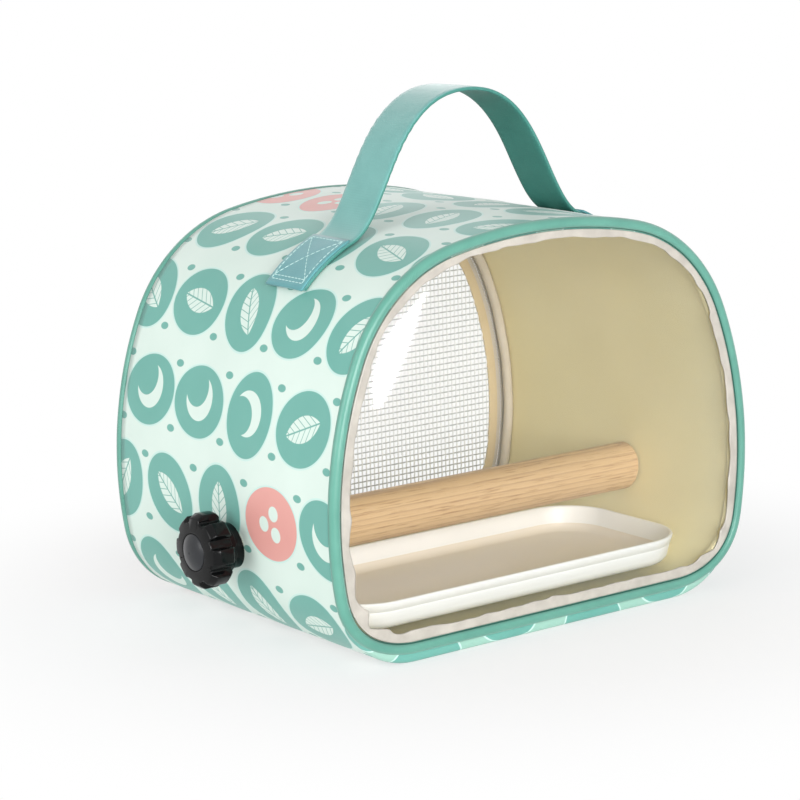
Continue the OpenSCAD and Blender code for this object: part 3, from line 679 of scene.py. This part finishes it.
def window_piece():
    """Clear soft vinyl, drawn tight over its edge and bulging by 1.8 mm in the middle."""
    inset, bulge, thick = SEAM_D - 0.2, 1.8, 0.4
    bm = filled_outline(inset, -SEAM_Y, -bulge, FRONT_LIFT)
    piece = finish_piece(bm, "clear_front", "bag", FINISHES["clear"],
                         ["front_window"])
    wall = piece.modifiers.new("Sheet", "SOLIDIFY")
    wall.thickness, wall.offset = thick * MM, 0
    # The thin cut edge doesn't bend the shading of the two faces beside it.
    piece.modifiers.new("Shading", "WEIGHTED_NORMAL")


def window_binding_piece():
    """White binding inside the piping: its free edge is wavy and puckers at the lower corners."""
    across, proud, behind = 7, 1.3, 0.7
    long_wave, long_l, short_wave, short_l = 0.9, 17, 0.5, 6
    # Pleats 22 mm apart, strongest at this turn and gone about twice the spread away from it
    half_pleat, pleat_wide, pleat_deep = 11.0, 2.1, 1.0
    pleat_turn, pleat_spread = math.radians(52), math.radians(34)
    front = [(SEAM_D + BINDING_W * i / (across - 1), -SEAM_Y - proud) for i in range(across)]
    back = [(d, y + behind) for d, y in reversed(front)]
    bm = sweep(front + back, step=1.6)
    outline_uv(bm)
    for v in bm.verts:
        x, y, z = v.co
        turn, length = turn_at(x, z)
        depth = depth_inside(x, z, turn)
        free = max(0.0, min(1.0, (depth - SEAM_D) / BINDING_W))
        corner = math.exp(-((turn - pleat_turn) / pleat_spread) ** 2)
        wave = (long_wave * ripple((length, 0, 0), long_l, 4)
                + short_wave * ripple((length, 0, 0), short_l, 9))
        pleat = abs((length / half_pleat) % 2 - 1) * 2 - 1
        # The binding narrows a little, and more so from the shoulders up.
        narrow = 1.9 if turn > SIDE_TURN else 0.9
        v.co -= outward(x, turn) * free * (wave - narrow + pleat_wide * corner * pleat)
        v.co.y += free * (0.35 * ripple((length, depth, 0), 9, 2) - pleat_deep * corner * pleat)
    raise_run(bm, FRONT_LIFT)
    finish_piece(bm, "white_window_binding", "bag", FINISHES["white_tape"],
                 ["window_binding"])


def seam_facings():
    facing_w = 2.4
    bm = sweep(rounded(SEAM_D, SEAM_D + facing_w, -SEAM_Y + 0.4, -WALL_Y, 0.3), step=4)
    outline_uv(bm)
    raise_run(bm, FRONT_LIFT)
    finish_piece(bm, "front_seam_facing", "bag", FINISHES["lining"],
                 ["front_seam_tape"])
    # The back seam's raw edges are bound over a soft roll that stands into the cabin. Every 93 mm
    # it has a short kink, outwards and back.
    roll_w, roll_y0, roll_y1, roll_r = 4.4, 71.6, 75.9, 2.05
    kink_pitch, kink_at, kink_l, kink_h, sway = 93, 31, 0.7, 0.5, 0.25
    bm = sweep(rounded(SEAM_D, SEAM_D + roll_w, roll_y0, roll_y1, roll_r, steps=5), step=2.5)
    outline_uv(bm)
    for v in bm.verts:
        x, y, z = v.co
        turn, length = turn_at(x, z)
        kink = kink_h * math.exp(-((length % kink_pitch - kink_at) / kink_l) ** 2)
        v.co += outward(x, turn) * (sway * ripple((length, y, 0), 14, 6) + kink)
        v.co.y += sway * ripple((length, z, 0), 19, 12) + kink
    finish_piece(bm, "bound_seam_roll", "bag", FINISHES["seam_tape"],
                 ["back_seam_tape"], subdivide=1)


# The lower end of the zip's coils, the length of its stops, how far the tape goes on past them,
# and the room that the zip leaves at the door's fold
TAIL_Z, STOP_L, TAIL_STEP, FOLD_CLEAR = 12.36, 1.3, 0.9, 3
TAPE_Z = TAIL_Z - STOP_L - TAIL_STEP
TAPE_END_D = ZIP_D + ZIP_GAP / 2 + DOOR_BINDING_W


def zip_tape(name, body, d0, d1, low, high, node, lift=0.0, material="zip_tape"):
    """One zip tape as a flat band of the outline, between two heights."""
    bm = sweep(rounded(d0, d1, DOOR_Y, DOOR_Y + ZIP_TAPE_T, 0.2, steps=2), step=3)
    outline_uv(bm)
    cut_at(bm, low, keep_above=True)
    if high:
        cut_at(bm, high, keep_above=False)
    raise_run(bm, lift)
    return finish_piece(bm, name, body, FINISHES[material], node)


def zip_tapes():
    outer_edge = ZIP_D - ZIP_GAP / 2
    zip_tape("bag_zip_tape", "bag", SEAM_D + 0.5, outer_edge, TAPE_Z, None, ["zip_tape_bag"])
    zip_tape("zip_tape_tails", "bag", ZIP_D + ZIP_GAP / 2, TAPE_END_D, TAPE_Z,
             FOLD_Z - FOLD_CLEAR, [])
    zip_tape("door_zip_tape", "door", ZIP_D + ZIP_GAP / 2, TAPE_END_D, FOLD_Z + FOLD_CLEAR, None,
             ["zip_tape_door"])


def coil_piece(name, body, inset, low, high, node):
    """A nylon coil: one loop a tooth, square to the tape, wider at the head."""
    pitch, tooth_l, eased = 1.5, 0.85, 0.22
    bm = bmesh.new()
    bmesh.ops.create_cube(bm, size=1)
    bmesh.ops.scale(bm, verts=bm.verts, vec=(tooth_l, COIL_H, COIL_W))
    bmesh.ops.bevel(bm, geom=bm.edges[:], offset=eased, segments=1, profile=0.5, affect="EDGES",
                    material=-1)
    tooth = bpy.data.meshes.new("tooth")
    bm.to_mesh(tooth)
    bm.free()
    places = []
    for cx, cz, r, first, last in ARCS:
        count = round((r - inset) * (last - first) / pitch)
        for i in range(count):
            turn = first + (last - first) * (i + 0.5) / count
            centre = place_on_outline(turn, inset)
            if low < centre.z < (high or TOP_Z):
                for side in (1, -1):
                    place = Matrix.Translation((side * centre.x,
                                                DOOR_Y + ZIP_TAPE_T + COIL_H / 2, centre.z))
                    places.append(place @ Matrix.Rotation(-side * turn, 4, "Y"))
    bm = scatter(tooth, places)
    bpy.data.meshes.remove(tooth)
    finish_piece(bm, name, body, FINISHES["coil"], node)


def zip_coils():
    bag_side = ZIP_D - (ZIP_GAP + COIL_W) / 2
    door_side = ZIP_D + (ZIP_GAP + COIL_W) / 2
    coil_piece("bag_zip_coil", "bag", bag_side, TAIL_Z, None, ["zip_coil_bag"])
    coil_piece("zip_coil_tails", "bag", door_side, TAIL_Z, FOLD_Z - FOLD_CLEAR, [])
    coil_piece("door_zip_coil", "door", door_side, FOLD_Z + FOLD_CLEAR, None, ["zip_coil_door"])


BAR_Z = FOLD_Z + 0.15
BAR_TOP_Z = BAR_Z + DOOR_BINDING_W


def net_piece():
    """Woven net: each thread passes over and under the ones that it crosses."""
    level_pitch, upright_pitch = 2.7, 2.3
    level_w, upright_w, thick, sway = 0.55, 0.45, 0.4, 0.16
    net_y = DOOR_Y - 0.55
    # The cut runs under the binding all round.
    under = 2
    tuck, low_z = NET_D - under, BAR_TOP_Z - under
    widest_z = ARCS[1][1]
    bm = bmesh.new()

    def thread_along(low, high, crossing):
        """A flat strip along X with a vertex row at each crossing and halfway between them."""
        half = crossing / 2
        first, last = math.ceil(low / half), math.floor(high / half)
        made = bmesh.ops.create_grid(bm, x_segments=last - first, y_segments=1, size=0.5)
        for v in made["verts"]:
            v.co.x = half * (first + (v.co.x + 0.5) * (last - first))
        return made["verts"]

    count = int(half_width(widest_z, tuck) / upright_pitch)
    for i in range(-count, count + 1):
        x = i * upright_pitch
        top = height_at(x, tuck, widest_z, TOP_Z - tuck)
        bottom = max(low_z, height_at(x, tuck, low_z, widest_z))
        verts = thread_along(bottom, top, level_pitch)
        for v in verts:
            z = v.co.x
            v.co = (x + math.copysign(upright_w / 2, v.co.y),
                    net_y + sway * math.cos(math.pi * (z / level_pitch + i)), z)
        for face in {f for v in verts for f in v.link_faces}:
            face.material_index = 1
    for k in range(math.ceil(low_z / level_pitch), int((TOP_Z - tuck) / level_pitch) + 1):
        z = k * level_pitch
        reach = half_width(z, tuck)
        if reach > upright_pitch:
            for v in thread_along(-reach, reach, upright_pitch):
                x = v.co.x
                v.co = (x, net_y - sway * math.cos(math.pi * (x / upright_pitch + k)),
                        z + math.copysign(level_w / 2, v.co.y))
    piece = finish_piece(bm, "woven_net", "door", FINISHES["net"], ["door_net"],
                         smooth=False)
    piece.data.materials.append(FINISHES["net_upright"])
    wall = piece.modifiers.new("Thread", "SOLIDIFY")
    wall.thickness, wall.offset = thick * MM, 0


def door_binding_piece():
    """Grosgrain round the net's arch, and a straight length of it along the fold."""
    arch_t, arch_r, bar_t, bar_r, bar_in, ends_in = 1.05, 0.45, 1.25, 0.35, 0.6, 1.2
    sway, sway_l = 0.12, 12
    bm = sweep(rounded(DOOR_D, NET_D, DOOR_Y - arch_t, DOOR_Y, arch_r, steps=3), step=3)
    outline_uv(bm)
    cut_at(bm, BAR_Z, keep_above=True)
    # The straight tape along the fold laps over both ends of the arch.
    bar = bmesh.ops.create_cube(bm, size=1)["verts"]
    end = half_width(BAR_Z + DOOR_BINDING_W / 2, DOOR_D) - ends_in
    bmesh.ops.scale(bm, verts=bar, vec=(2 * end, bar_t, DOOR_BINDING_W))
    bmesh.ops.translate(bm, verts=bar,
                        vec=(0, DOOR_Y - bar_in, BAR_Z + DOOR_BINDING_W / 2))
    edges = list({e for v in bar for e in v.link_edges})
    bmesh.ops.bevel(bm, geom=edges, offset=bar_r, segments=2, profile=0.5, affect="EDGES",
                    material=-1)
    for v in bm.verts:
        v.co.y += sway * ripple(v.co, sway_l, 3)
    finish_piece(bm, "door_binding_tape", "door", FINISHES["beige"],
                 ["door_binding"])


def sill_piece():
    """The cloth strip that carries the door's fold. Its ends leave room for the zip's tails."""
    thick, outer_d, inner_d, steps = 0.95, SEAM_D + 0.6, DOOR_D + 0.8, 8
    low_z, top = TAPE_Z - TAIL_STEP, FOLD_Z - 0.15
    start_z = max(low_z, inner_d + 0.05)
    points = [(half_width(z, outer_d), z)
              for z in (outer_d + (low_z - outer_d) * i / steps for i in range(steps + 1))]
    points += [(half_width(low_z, inner_d) if low_z > inner_d else FLAT_HALF, low_z)]
    points += [(half_width(z, inner_d), z)
               for z in (start_z + (top - start_z) * i / steps for i in range(steps + 1))]
    points += [(-x, z) for x, z in reversed(points)]
    bm = bmesh.new()
    verts = [bm.verts.new((x, DOOR_Y - thick, z)) for x, z in points]
    for a, b in zip(verts, verts[1:] + verts[:1]):
        bm.edges.new((a, b))
    bmesh.ops.contextual_create(bm, geom=bm.edges[:])
    made = bmesh.ops.extrude_face_region(bm, geom=bm.faces[:])["geom"]
    bmesh.ops.translate(bm, verts=[g for g in made if isinstance(g, bmesh.types.BMVert)],
                        vec=(0, thick, 0))
    bmesh.ops.remove_doubles(bm, verts=bm.verts, dist=0.01)
    bmesh.ops.recalc_face_normals(bm, faces=bm.faces)
    outline_uv(bm)
    finish_piece(bm, "door_sill_cloth", "bag", FINISHES["beige"], ["back_sill"],
                 smooth=False)


# Handle. Each end follows the shoulder under its patch, then leaves along one cubic curve.
HANDLE_SPAN, HANDLE_TOP, PATCH_L = 120, 220, 29
WEB_D = -0.1 - WEB_T / 2
PATCH_D = WEB_D - WEB_T / 2 - 0.1
SHOULDER_CX, SHOULDER_CZ, SHOULDER_R = SHOULDER[:3]
LEAVE_TURN = math.pi - math.asin((HANDLE_SPAN / 2 - SHOULDER_CX) / (SHOULDER_R - WEB_D))
SEWN_TURN = LEAVE_TURN - PATCH_L / SHOULDER_R


def shoulder_frame(turn, inset):
    """A frame on the right shoulder: X runs up along it, Z points out of the bag."""
    x = SHOULDER_CX + (SHOULDER_R - inset) * math.sin(turn)
    z = SHOULDER_CZ - (SHOULDER_R - inset) * math.cos(turn)
    return path_frame(Vector((x, HANDLE_Y, z)), Vector((math.cos(turn), 0, math.sin(turn))))


def path_frame(point, way):
    way = way.normalized()
    side = Vector((0, 1, 0))
    out = way.cross(side)
    return Matrix.Translation(point) @ Matrix((way, side, out)).transposed().to_4x4()


def handle_frames():
    """Frames of the webbing's middle line, from the right sewn end over to the left one."""
    sewn_steps, curve_steps = 14, 40
    # How strongly the curve holds its direction at the patch and at the top, as shares of the span
    patch_pull, top_pull = 0.17, 0.33
    right = [shoulder_frame(SEWN_TURN + (LEAVE_TURN - SEWN_TURN) * i / sewn_steps, WEB_D)
             for i in range(sewn_steps + 1)]
    p3 = right[-1].translation
    p2 = p3 + HANDLE_SPAN * patch_pull * Vector((math.cos(LEAVE_TURN), 0, math.sin(LEAVE_TURN)))
    p0 = Vector((0, HANDLE_Y, HANDLE_TOP - WEB_T / 2))
    p1 = p0 + Vector((HANDLE_SPAN * top_pull, 0, 0))
    for i in range(1, curve_steps + 1):
        t = i / curve_steps
        s = 1 - t
        point = s ** 3 * p3 + 3 * s * s * t * p2 + 3 * s * t * t * p1 + t ** 3 * p0
        way = 3 * s * s * (p2 - p3) + 6 * s * t * (p1 - p2) + 3 * t * t * (p0 - p1)
        right.append(path_frame(point, way))
    left = []
    for place in reversed(right[:-1]):
        point, way = place.translation, place.col[0].to_3d()
        left.append(path_frame(Vector((-point.x, point.y, point.z)),
                               Vector((way.x, way.y, -way.z))))
    return right + left


def carry(section, frames):
    """Extrudes a closed section of (y, z) points through a row of frames and caps both ends."""
    bm = bmesh.new()
    verts = [bm.verts.new(frames[0] @ Vector((0, y, z))) for y, z in section]
    edges = [bm.edges.new(pair) for pair in zip(verts, verts[1:] + verts[:1])]
    uv_rows = [verts]
    first = list(edges)
    for last, place in zip(frames, frames[1:]):
        made = bmesh.ops.extrude_edge_only(bm, edges=edges)["geom"]
        verts = [g for g in made if isinstance(g, bmesh.types.BMVert)]
        edges = [g for g in made if isinstance(g, bmesh.types.BMEdge)
                 and all(v in verts for v in g.verts)]
        bmesh.ops.transform(bm, matrix=place @ last.inverted(), verts=verts)
        uv_rows.append(verts)
    bmesh.ops.contextual_create(bm, geom=first)
    bmesh.ops.contextual_create(bm, geom=edges)
    bmesh.ops.recalc_face_normals(bm, faces=bm.faces)
    # A map in metres: along the strap, and across it
    along = {}
    length = 0.0
    for k, row in enumerate(uv_rows):
        if k:
            length += (frames[k].translation - frames[k - 1].translation).length
        for v in row:
            along[v] = length
    layer = bm.loops.layers.uv.new("Cut")
    for face in bm.faces:
        for loop in face.loops:
            loop[layer].uv = (along[loop.vert] * MM, loop.vert.co.y * MM)
    return bm


def strap_section(width, thick, columns=12):
    """A flat strap with eased edges."""
    half, t = width / 2, thick / 2
    face = [(-half + 0.6 + (width - 1.2) * i / columns) for i in range(columns + 1)]
    top = [(y, t) for y in face]
    bottom = [(y, -t) for y in reversed(face)]
    return top + [(half - 0.15, t * 0.7), (half, 0), (half - 0.15, -t * 0.7)] + bottom + [
        (-half + 0.15, -t * 0.7), (-half, 0), (-half + 0.15, t * 0.7)]


def handle_piece():
    """The webbing, with creases some 4 mm apart where it was pressed flat, left of the top."""
    # It hangs free from this height on, and fully so one run above it.
    free_z, free_run = 172, 14
    sag, sag_l, crease_h, crease_x, crease_reach = 0.35, 24, 0.24, -32, 15
    bm = carry(strap_section(WEB_W, WEB_T - 0.3), handle_frames())
    for v in bm.verts:
        x, y, z = v.co
        free = max(0.0, min(1.0, (z - free_z) / free_run))
        near = math.exp(-((x - crease_x) / crease_reach) ** 2)
        crease = math.sin(x * 1.15 + z * 0.9 + 0.8 * ripple((x, y, z), 8, 3))
        v.co.z += free * (sag * ripple((x, y, z), sag_l, 3) + crease_h * near * crease)
    bm.normal_update()
    # The strap's inner face and its two edges get a darker teal: painted shade.
    inside = Vector((0, HANDLE_Y, 150))
    for face in bm.faces:
        away = (face.calc_center_median() - inside).normalized()
        face.material_index = int(face.normal.dot(away) < -0.3 or abs(face.normal.y) > 0.6)
    piece = finish_piece(bm, "webbing_handle", None, FINISHES["webbing"],
                         ["handle_loop", "handle_end_left", "handle_end_right"])
    piece.data.materials.append(FINISHES["webbing_painted_shade"])
    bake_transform(piece)


def stitch_mesh():
    """One stitch, 1 long: a short plump thread that dives at both ends."""
    bm = bmesh.new()
    bmesh.ops.create_uvsphere(bm, u_segments=6, v_segments=4, radius=0.5)
    bmesh.ops.rotate(bm, verts=bm.verts, matrix=Matrix.Rotation(math.pi / 2, 3, "Y"))
    mesh = bpy.data.meshes.new("stitch")
    bm.to_mesh(mesh)
    bm.free()
    return mesh


def patch_piece(side):
    """The webbing's end, turned under and sewn down, and its box of stitches with a cross."""
    name = "left" if side < 0 else "right"
    across = Matrix.Scale(-1, 4, (1, 0, 0)) if side < 0 else Matrix.Identity(4)
    thick, rows, turned_under = 1.0, 16, 1.2

    def at(along, out):
        """A frame on the patch, along it from its lower end."""
        return shoulder_frame(SEWN_TURN + along / SHOULDER_R, PATCH_D - thick / 2 - out)

    frames = [at(PATCH_L * i / rows - turned_under, 0) for i in range(rows + 1)]
    bm = carry(strap_section(WEB_W + 0.4, thick), frames)
    for v in bm.verts:
        v.co.z += 0.12 * ripple(v.co, 9, 2)
    bmesh.ops.transform(bm, matrix=across, verts=bm.verts)
    bmesh.ops.recalc_face_normals(bm, faces=bm.faces)
    finish_piece(bm, f"handle_patch_cloth_{name}", "bag", FINISHES["patch"],
                 [f"handle_patch_{name}"])
    # The seams, as (along, across) ends on the patch: a box, a second row below and a cross
    a0, a1, b = 1.6, PATCH_L - 3.2, WEB_W / 2 - 2
    a2 = a0 + 1.8
    seams = [((a0, -b), (a1, -b)), ((a0, b), (a1, b)), ((a1, -b), (a1, b)), ((a0, -b), (a0, b)),
             ((a2, -b), (a2, b)), ((a2, -b), (a1, b)), ((a2, b), (a1, -b))]
    stitch = stitch_mesh()
    places = []
    # A stitch's length, width and height, and the share of its step that it fills
    stitch_l, stitch_w, stitch_h, stitch_share = 2.3, 0.5, 0.34, 0.94
    for (x0, y0), (x1, y1) in seams:
        run = math.hypot(x1 - x0, y1 - y0)
        count = max(1, round(run / stitch_l))
        heading = math.atan2(y1 - y0, x1 - x0)
        for i in range(count):
            t = (i + 0.5) / count
            place = at(x0 + (x1 - x0) * t, thick / 2 + 0.02)
            place = place @ Matrix.Translation((0, y0 + (y1 - y0) * t, 0))
            place = place @ Matrix.Rotation(heading, 4, "Z")
            scale = Matrix.Diagonal((run / count * stitch_share, stitch_w, stitch_h, 1))
            places.append(across @ place @ scale)
    bm = scatter(stitch, places)
    bpy.data.meshes.remove(stitch)
    bmesh.ops.recalc_face_normals(bm, faces=bm.faces)
    finish_piece(bm, f"patch_stitching_{name}", "bag", FINISHES["thread"])


# The tray's corners, lower edge, lean, wall and the small step round its outside
TRAY_R, TRAY_EDGE_R, TRAY_DRAFT, TRAY_WALL, TRAY_STEP = 24, 5, 2, 1.6, 0.35


def tray_piece():
    """Moulded tray: one wall carried from the underside out to the rim and back in."""
    low, high = node_box("tray")
    middle = (low + high) / 2
    height = high.z - low.z
    half = (high - low) / 2
    step_z = height * 2 / 3
    # The floor's outline starts this far inside the rounded edge.
    floor_in = 3
    quarter = [math.pi / 2 * i / 8 for i in range(9)]

    def lean(z):
        return TRAY_DRAFT * (height - z) / (height - TRAY_EDGE_R)

    outside = [(TRAY_DRAFT + TRAY_EDGE_R * (1 - math.sin(a)), TRAY_EDGE_R * (1 - math.cos(a)))
               for a in quarter]
    inner_r = TRAY_EDGE_R - TRAY_WALL
    inside = [(TRAY_DRAFT + TRAY_WALL + inner_r * (1 - math.sin(a)),
               TRAY_WALL + inner_r * (1 - math.cos(a))) for a in reversed(quarter)]
    rim_r = TRAY_WALL / 2
    rim = [(rim_r - rim_r * math.cos(math.pi * i / 8),
            height - rim_r + rim_r * math.sin(math.pi * i / 8)) for i in range(9)]
    profile = [(TRAY_DRAFT + TRAY_EDGE_R + floor_in, 0)] + outside
    profile += [(lean(step_z - 0.8), step_z - 0.8), (lean(step_z) + TRAY_STEP, step_z - 0.3),
                (lean(step_z) + TRAY_STEP, step_z), (lean(step_z + 0.3), step_z + 0.3)]
    profile += rim + inside + [(TRAY_DRAFT + TRAY_EDGE_R + floor_in, TRAY_WALL)]
    bm = bmesh.new()
    sides = 72
    ring = bmesh.ops.create_circle(bm, segments=sides, radius=TRAY_R)["verts"]
    bmesh.ops.rotate(bm, verts=ring, matrix=Matrix.Rotation(math.pi / sides, 3, "Z"))
    edges = bm.edges[:]
    first = edges
    for k, (inset, z) in enumerate(profile):
        if k:
            made = bmesh.ops.extrude_edge_only(bm, edges=edges)["geom"]
            # The faces inside the wall get the beige of painted shade and painted reflection.
            for face in (g for g in made if isinstance(g, bmesh.types.BMFace)):
                face.material_index = int(k > len(profile) - len(inside) - 1)
            ring = [g for g in made if isinstance(g, bmesh.types.BMVert)]
            edges = [g for g in made if isinstance(g, bmesh.types.BMEdge)
                     and all(v in ring for v in g.verts)]
        for v in ring:
            if k:
                v.co -= Vector((math.copysign(half.x - TRAY_R, v.co.x),
                                math.copysign(half.y - TRAY_R, v.co.y), 0))
            way = Vector((v.co.x, v.co.y, 0)).normalized()
            v.co = way * (TRAY_R - inset) + Vector((0, 0, z))
            v.co += Vector((math.copysign(half.x - TRAY_R, way.x),
                            math.copysign(half.y - TRAY_R, way.y), 0))
    bmesh.ops.contextual_create(bm, geom=first)
    # The inner floor gets that painted shade and reflection as well.
    for face in bmesh.ops.contextual_create(bm, geom=edges)["faces"]:
        face.material_index = 1
    bmesh.ops.translate(bm, verts=bm.verts, vec=(middle.x, middle.y, low.z))
    bmesh.ops.recalc_face_normals(bm, faces=bm.faces)
    piece = finish_piece(bm, "moulded_tray", "tray", FINISHES["tray"], ["tray"])
    piece.data.materials.append(FINISHES["tray_painted_shade"])


def moulded_copy(node, name, body, finish, edge):
    """The node's own shape with its moulded edges eased and its round faces smooth."""
    bm = bmesh.new()
    bm.from_mesh(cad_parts[node].data)
    bmesh.ops.scale(bm, verts=bm.verts, vec=(1 / MM, 1 / MM, 1 / MM))
    bmesh.ops.remove_doubles(bm, verts=bm.verts, dist=0.005)
    bmesh.ops.dissolve_limit(bm, angle_limit=math.radians(1), verts=bm.verts, edges=bm.edges)
    piece = finish_piece(bm, name, body, FINISHES[finish], [node])
    bevel = piece.modifiers.new("Edge", "BEVEL")
    bevel.width, bevel.segments = edge * MM, 3
    bevel.limit_method, bevel.angle_limit = "ANGLE", math.radians(32)
    bevel.use_clamp_overlap = True
    piece.data.set_sharp_from_angle(angle=math.radians(50))


def knob_pieces():
    for side in ("left", "right"):
        for node, name, body, finish, edge in (
                ("knob", "lobed_knob", "knob", "black", 0.45),
                ("knob_cap", "domed_cap", "knob", "cap", 0.2),
                ("knob_washer", "perch_washer", "washer", "black", 0.25)):
            moulded_copy(f"{node}_{side}", f"{name}_{side}", f"{body}_{side}", finish,
                         edge)


wrap_piece()
foam_piece()
lining_piece()
piping_piece("front_piping_cord", -SEAM_Y, FRONT_LIFT, "front_piping")
piping_piece("back_piping_cord", SEAM_Y, BACK_LIFT, "back_piping")
window_piece()
window_binding_piece()
seam_facings()
zip_tapes()
zip_coils()
net_piece()
door_binding_piece()
sill_piece()
handle_piece()
patch_piece(-1)
patch_piece(1)
tray_piece()
knob_pieces()

# The construction nodes that no piece replaces
NODE_FINISH = {"floor_board": "board", "zip_stops": "zinc", "zip_slider": "zinc",
               "zip_pull": "zinc", "perch": "beech"}
for side in ("left", "right"):
    NODE_FINISH.update({f"perch_insert_{side}": "brass", f"wall_eyelet_{side}": "nickel",
                        f"knob_stud_{side}": "steel"})
for name, finish in NODE_FINISH.items():
    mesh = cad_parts[name].data
    mesh.materials.clear()
    mesh.materials.append(FINISHES[finish])


# Camera, at the photograph's viewpoint
CAMERA_AZIMUTH, CAMERA_ELEVATION, CAMERA_ROLL = (math.radians(a) for a in (-37.5, 11.5, -1.2))
CAMERA_TARGET = Vector((0, 0, 85))
CAMERA_DISTANCE = 1150
CAMERA_LENS = 121.03
CAMERA_SHIFT = (-0.0386, -0.001)


def aim_camera():
    back = Vector((math.sin(CAMERA_AZIMUTH) * math.cos(CAMERA_ELEVATION),
                   -math.cos(CAMERA_AZIMUTH) * math.cos(CAMERA_ELEVATION),
                   math.sin(CAMERA_ELEVATION)))
    right = Vector((math.cos(CAMERA_AZIMUTH), math.sin(CAMERA_AZIMUTH), 0))
    up = back.cross(right)
    turn = Matrix.Rotation(CAMERA_ROLL, 3, back)
    axes = Matrix((turn @ right, turn @ up, back)).transposed()
    camera = bpy.data.objects.new("camera", bpy.data.cameras.new("camera"))
    camera.data.lens, camera.data.sensor_width = CAMERA_LENS, 36
    camera.data.shift_x, camera.data.shift_y = CAMERA_SHIFT
    camera.data.clip_start, camera.data.clip_end = 0.05, 20
    place = (CAMERA_TARGET + back * CAMERA_DISTANCE) * MM
    camera.matrix_world = Matrix.Translation(place) @ axes.to_4x4()
    bpy.context.scene.collection.objects.link(camera)
    bpy.context.scene.camera = camera


def soft_lamp(name, place, target, size, power):
    """A soft box: places and sizes are in metres, and the power is in watts."""
    lamp = bpy.data.objects.new(name, bpy.data.lights.new(name, "AREA"))
    lamp.data.shape, lamp.data.size, lamp.data.size_y = "RECTANGLE", size[0], size[1]
    lamp.data.energy = power
    lamp.location = place
    lamp.rotation_mode = "QUATERNION"
    lamp.rotation_quaternion = (Vector(target) - Vector(place)).to_track_quat("-Z", "Y")
    bpy.context.scene.collection.objects.link(lamp)
    return lamp


# The glare in the vinyl: how far off its lamp stands, where it lies, and the lamp's size in
# metres, its power and its turn
GLINT_DISTANCE = 350
GLINT_AT = (-75, -SEAM_Y - 1.5, 130)
GLINT_SIZE, GLINT_POWER, GLINT_LEAN = (0.012, 0.085), 3, math.radians(-23)


def glint_place():
    """Where a lamp shows as one glint in the vinyl, and the vinyl's point that mirrors it."""
    bpy.context.view_layer.update()
    _, point, normal, _ = bpy.data.objects["clear_front"].closest_point_on_mesh(
        Vector(GLINT_AT) * MM)
    to_eye = (bpy.context.scene.camera.matrix_world.translation - point).normalized()
    normal *= math.copysign(1, normal.dot(to_eye))
    mirrored = 2 * normal.dot(to_eye) * normal - to_eye
    return point + mirrored * GLINT_DISTANCE * MM, point


def seen_directly(tree):
    """1 for what the camera sees, also in gloss and through clear sheets, and 0 for light."""
    path = add(tree, "ShaderNodeLightPath")
    seen = path.outputs["Is Camera Ray"]
    for ray in ("Is Glossy Ray", "Is Transmission Ray"):
        seen = add(tree, "ShaderNodeMath", {0: seen, 1: path.outputs[ray]},
                   operation="MAXIMUM").outputs[0]
    return seen


def light_scene():
    """Three soft lamps and a plain world, at a level where a colour renders about as written."""
    middle = (0, 0, 0.09)
    soft_lamp("key", (-1.5, -0.1, 0.5), middle, (0.9, 0.7), 8)
    soft_lamp("front", (-0.5, -1.55, 0.42), middle, (0.9, 0.7), 24.5)
    soft_lamp("back", (0.5, 1.4, 0.6), middle, (1.1, 0.8), 4)
    glint = soft_lamp("glint", *glint_place(), GLINT_SIZE, GLINT_POWER)
    glint.data.shape = "ELLIPSE"
    glint.rotation_quaternion @= Quaternion((0, 0, 1), GLINT_LEAN)
    # The glint is for the vinyl alone and adds no light to the rest.
    only = bpy.data.collections.new("vinyl_only")
    only.objects.link(bpy.data.objects["clear_front"])
    glint.light_linking.receiver_collection = only
    world = bpy.data.worlds.new("studio")
    world.use_nodes = True
    tree = world.node_tree
    shade = tree.nodes["Background"]
    shade.inputs["Color"].default_value = (1, 1, 1, 1)
    # The world looks white and lights the object at 0.38.
    power = add(tree, "ShaderNodeMapRange", {"Value": seen_directly(tree), "To Min": 0.38,
                                             "To Max": 1.0})
    tree.links.new(power.outputs[0], shade.inputs["Strength"])
    bpy.context.scene.world = world


FLOOR_REACH, FLOOR_HALF = 270, 4000


def floor_piece():
    """A pale matt floor that keeps the object's shadow and fades to white away from it."""
    bm = bmesh.new()
    bmesh.ops.create_grid(bm, x_segments=2, y_segments=2, size=FLOOR_HALF)
    bmesh.ops.scale(bm, verts=bm.verts, vec=(MM, MM, MM))
    mesh = bpy.data.meshes.new("floor")
    bm.to_mesh(mesh)
    bm.free()
    material, tree, shader = start("pale_floor", Roughness=0.9)
    shader.inputs["Base Color"].default_value = (0.95, 0.95, 0.95, 1)
    # Past FLOOR_REACH the camera sees plain white, as the world is, so no horizon shows.
    place = add(tree, "ShaderNodeTexCoord").outputs["Object"]
    far = add(tree, "ShaderNodeVectorMath", {0: place}, operation="LENGTH").outputs["Value"]
    plain = add(tree, "ShaderNodeMapRange", {"Value": far, "From Min": FLOOR_REACH * MM / 3,
                                             "From Max": FLOOR_REACH * MM, "To Min": 0.6},
                interpolation_type="SMOOTHSTEP")
    glow = add(tree, "ShaderNodeEmission", {"Color": (1, 1, 1, 1), "Strength": 1.0})
    share = add(tree, "ShaderNodeMath", {0: seen_directly(tree), 1: plain.outputs[0]},
                operation="MULTIPLY")
    mix = add(tree, "ShaderNodeMixShader", {0: share.outputs[0], 1: shader.outputs[0],
                                            2: glow.outputs[0]})
    tree.links.new(mix.outputs[0], tree.nodes["Material Output"].inputs["Surface"])
    mesh.materials.append(material)
    floor = bpy.data.objects.new("floor", mesh)
    bpy.context.scene.collection.objects.link(floor)


aim_camera()
light_scene()
floor_piece()
bpy.context.scene.view_settings.view_transform = "Standard"
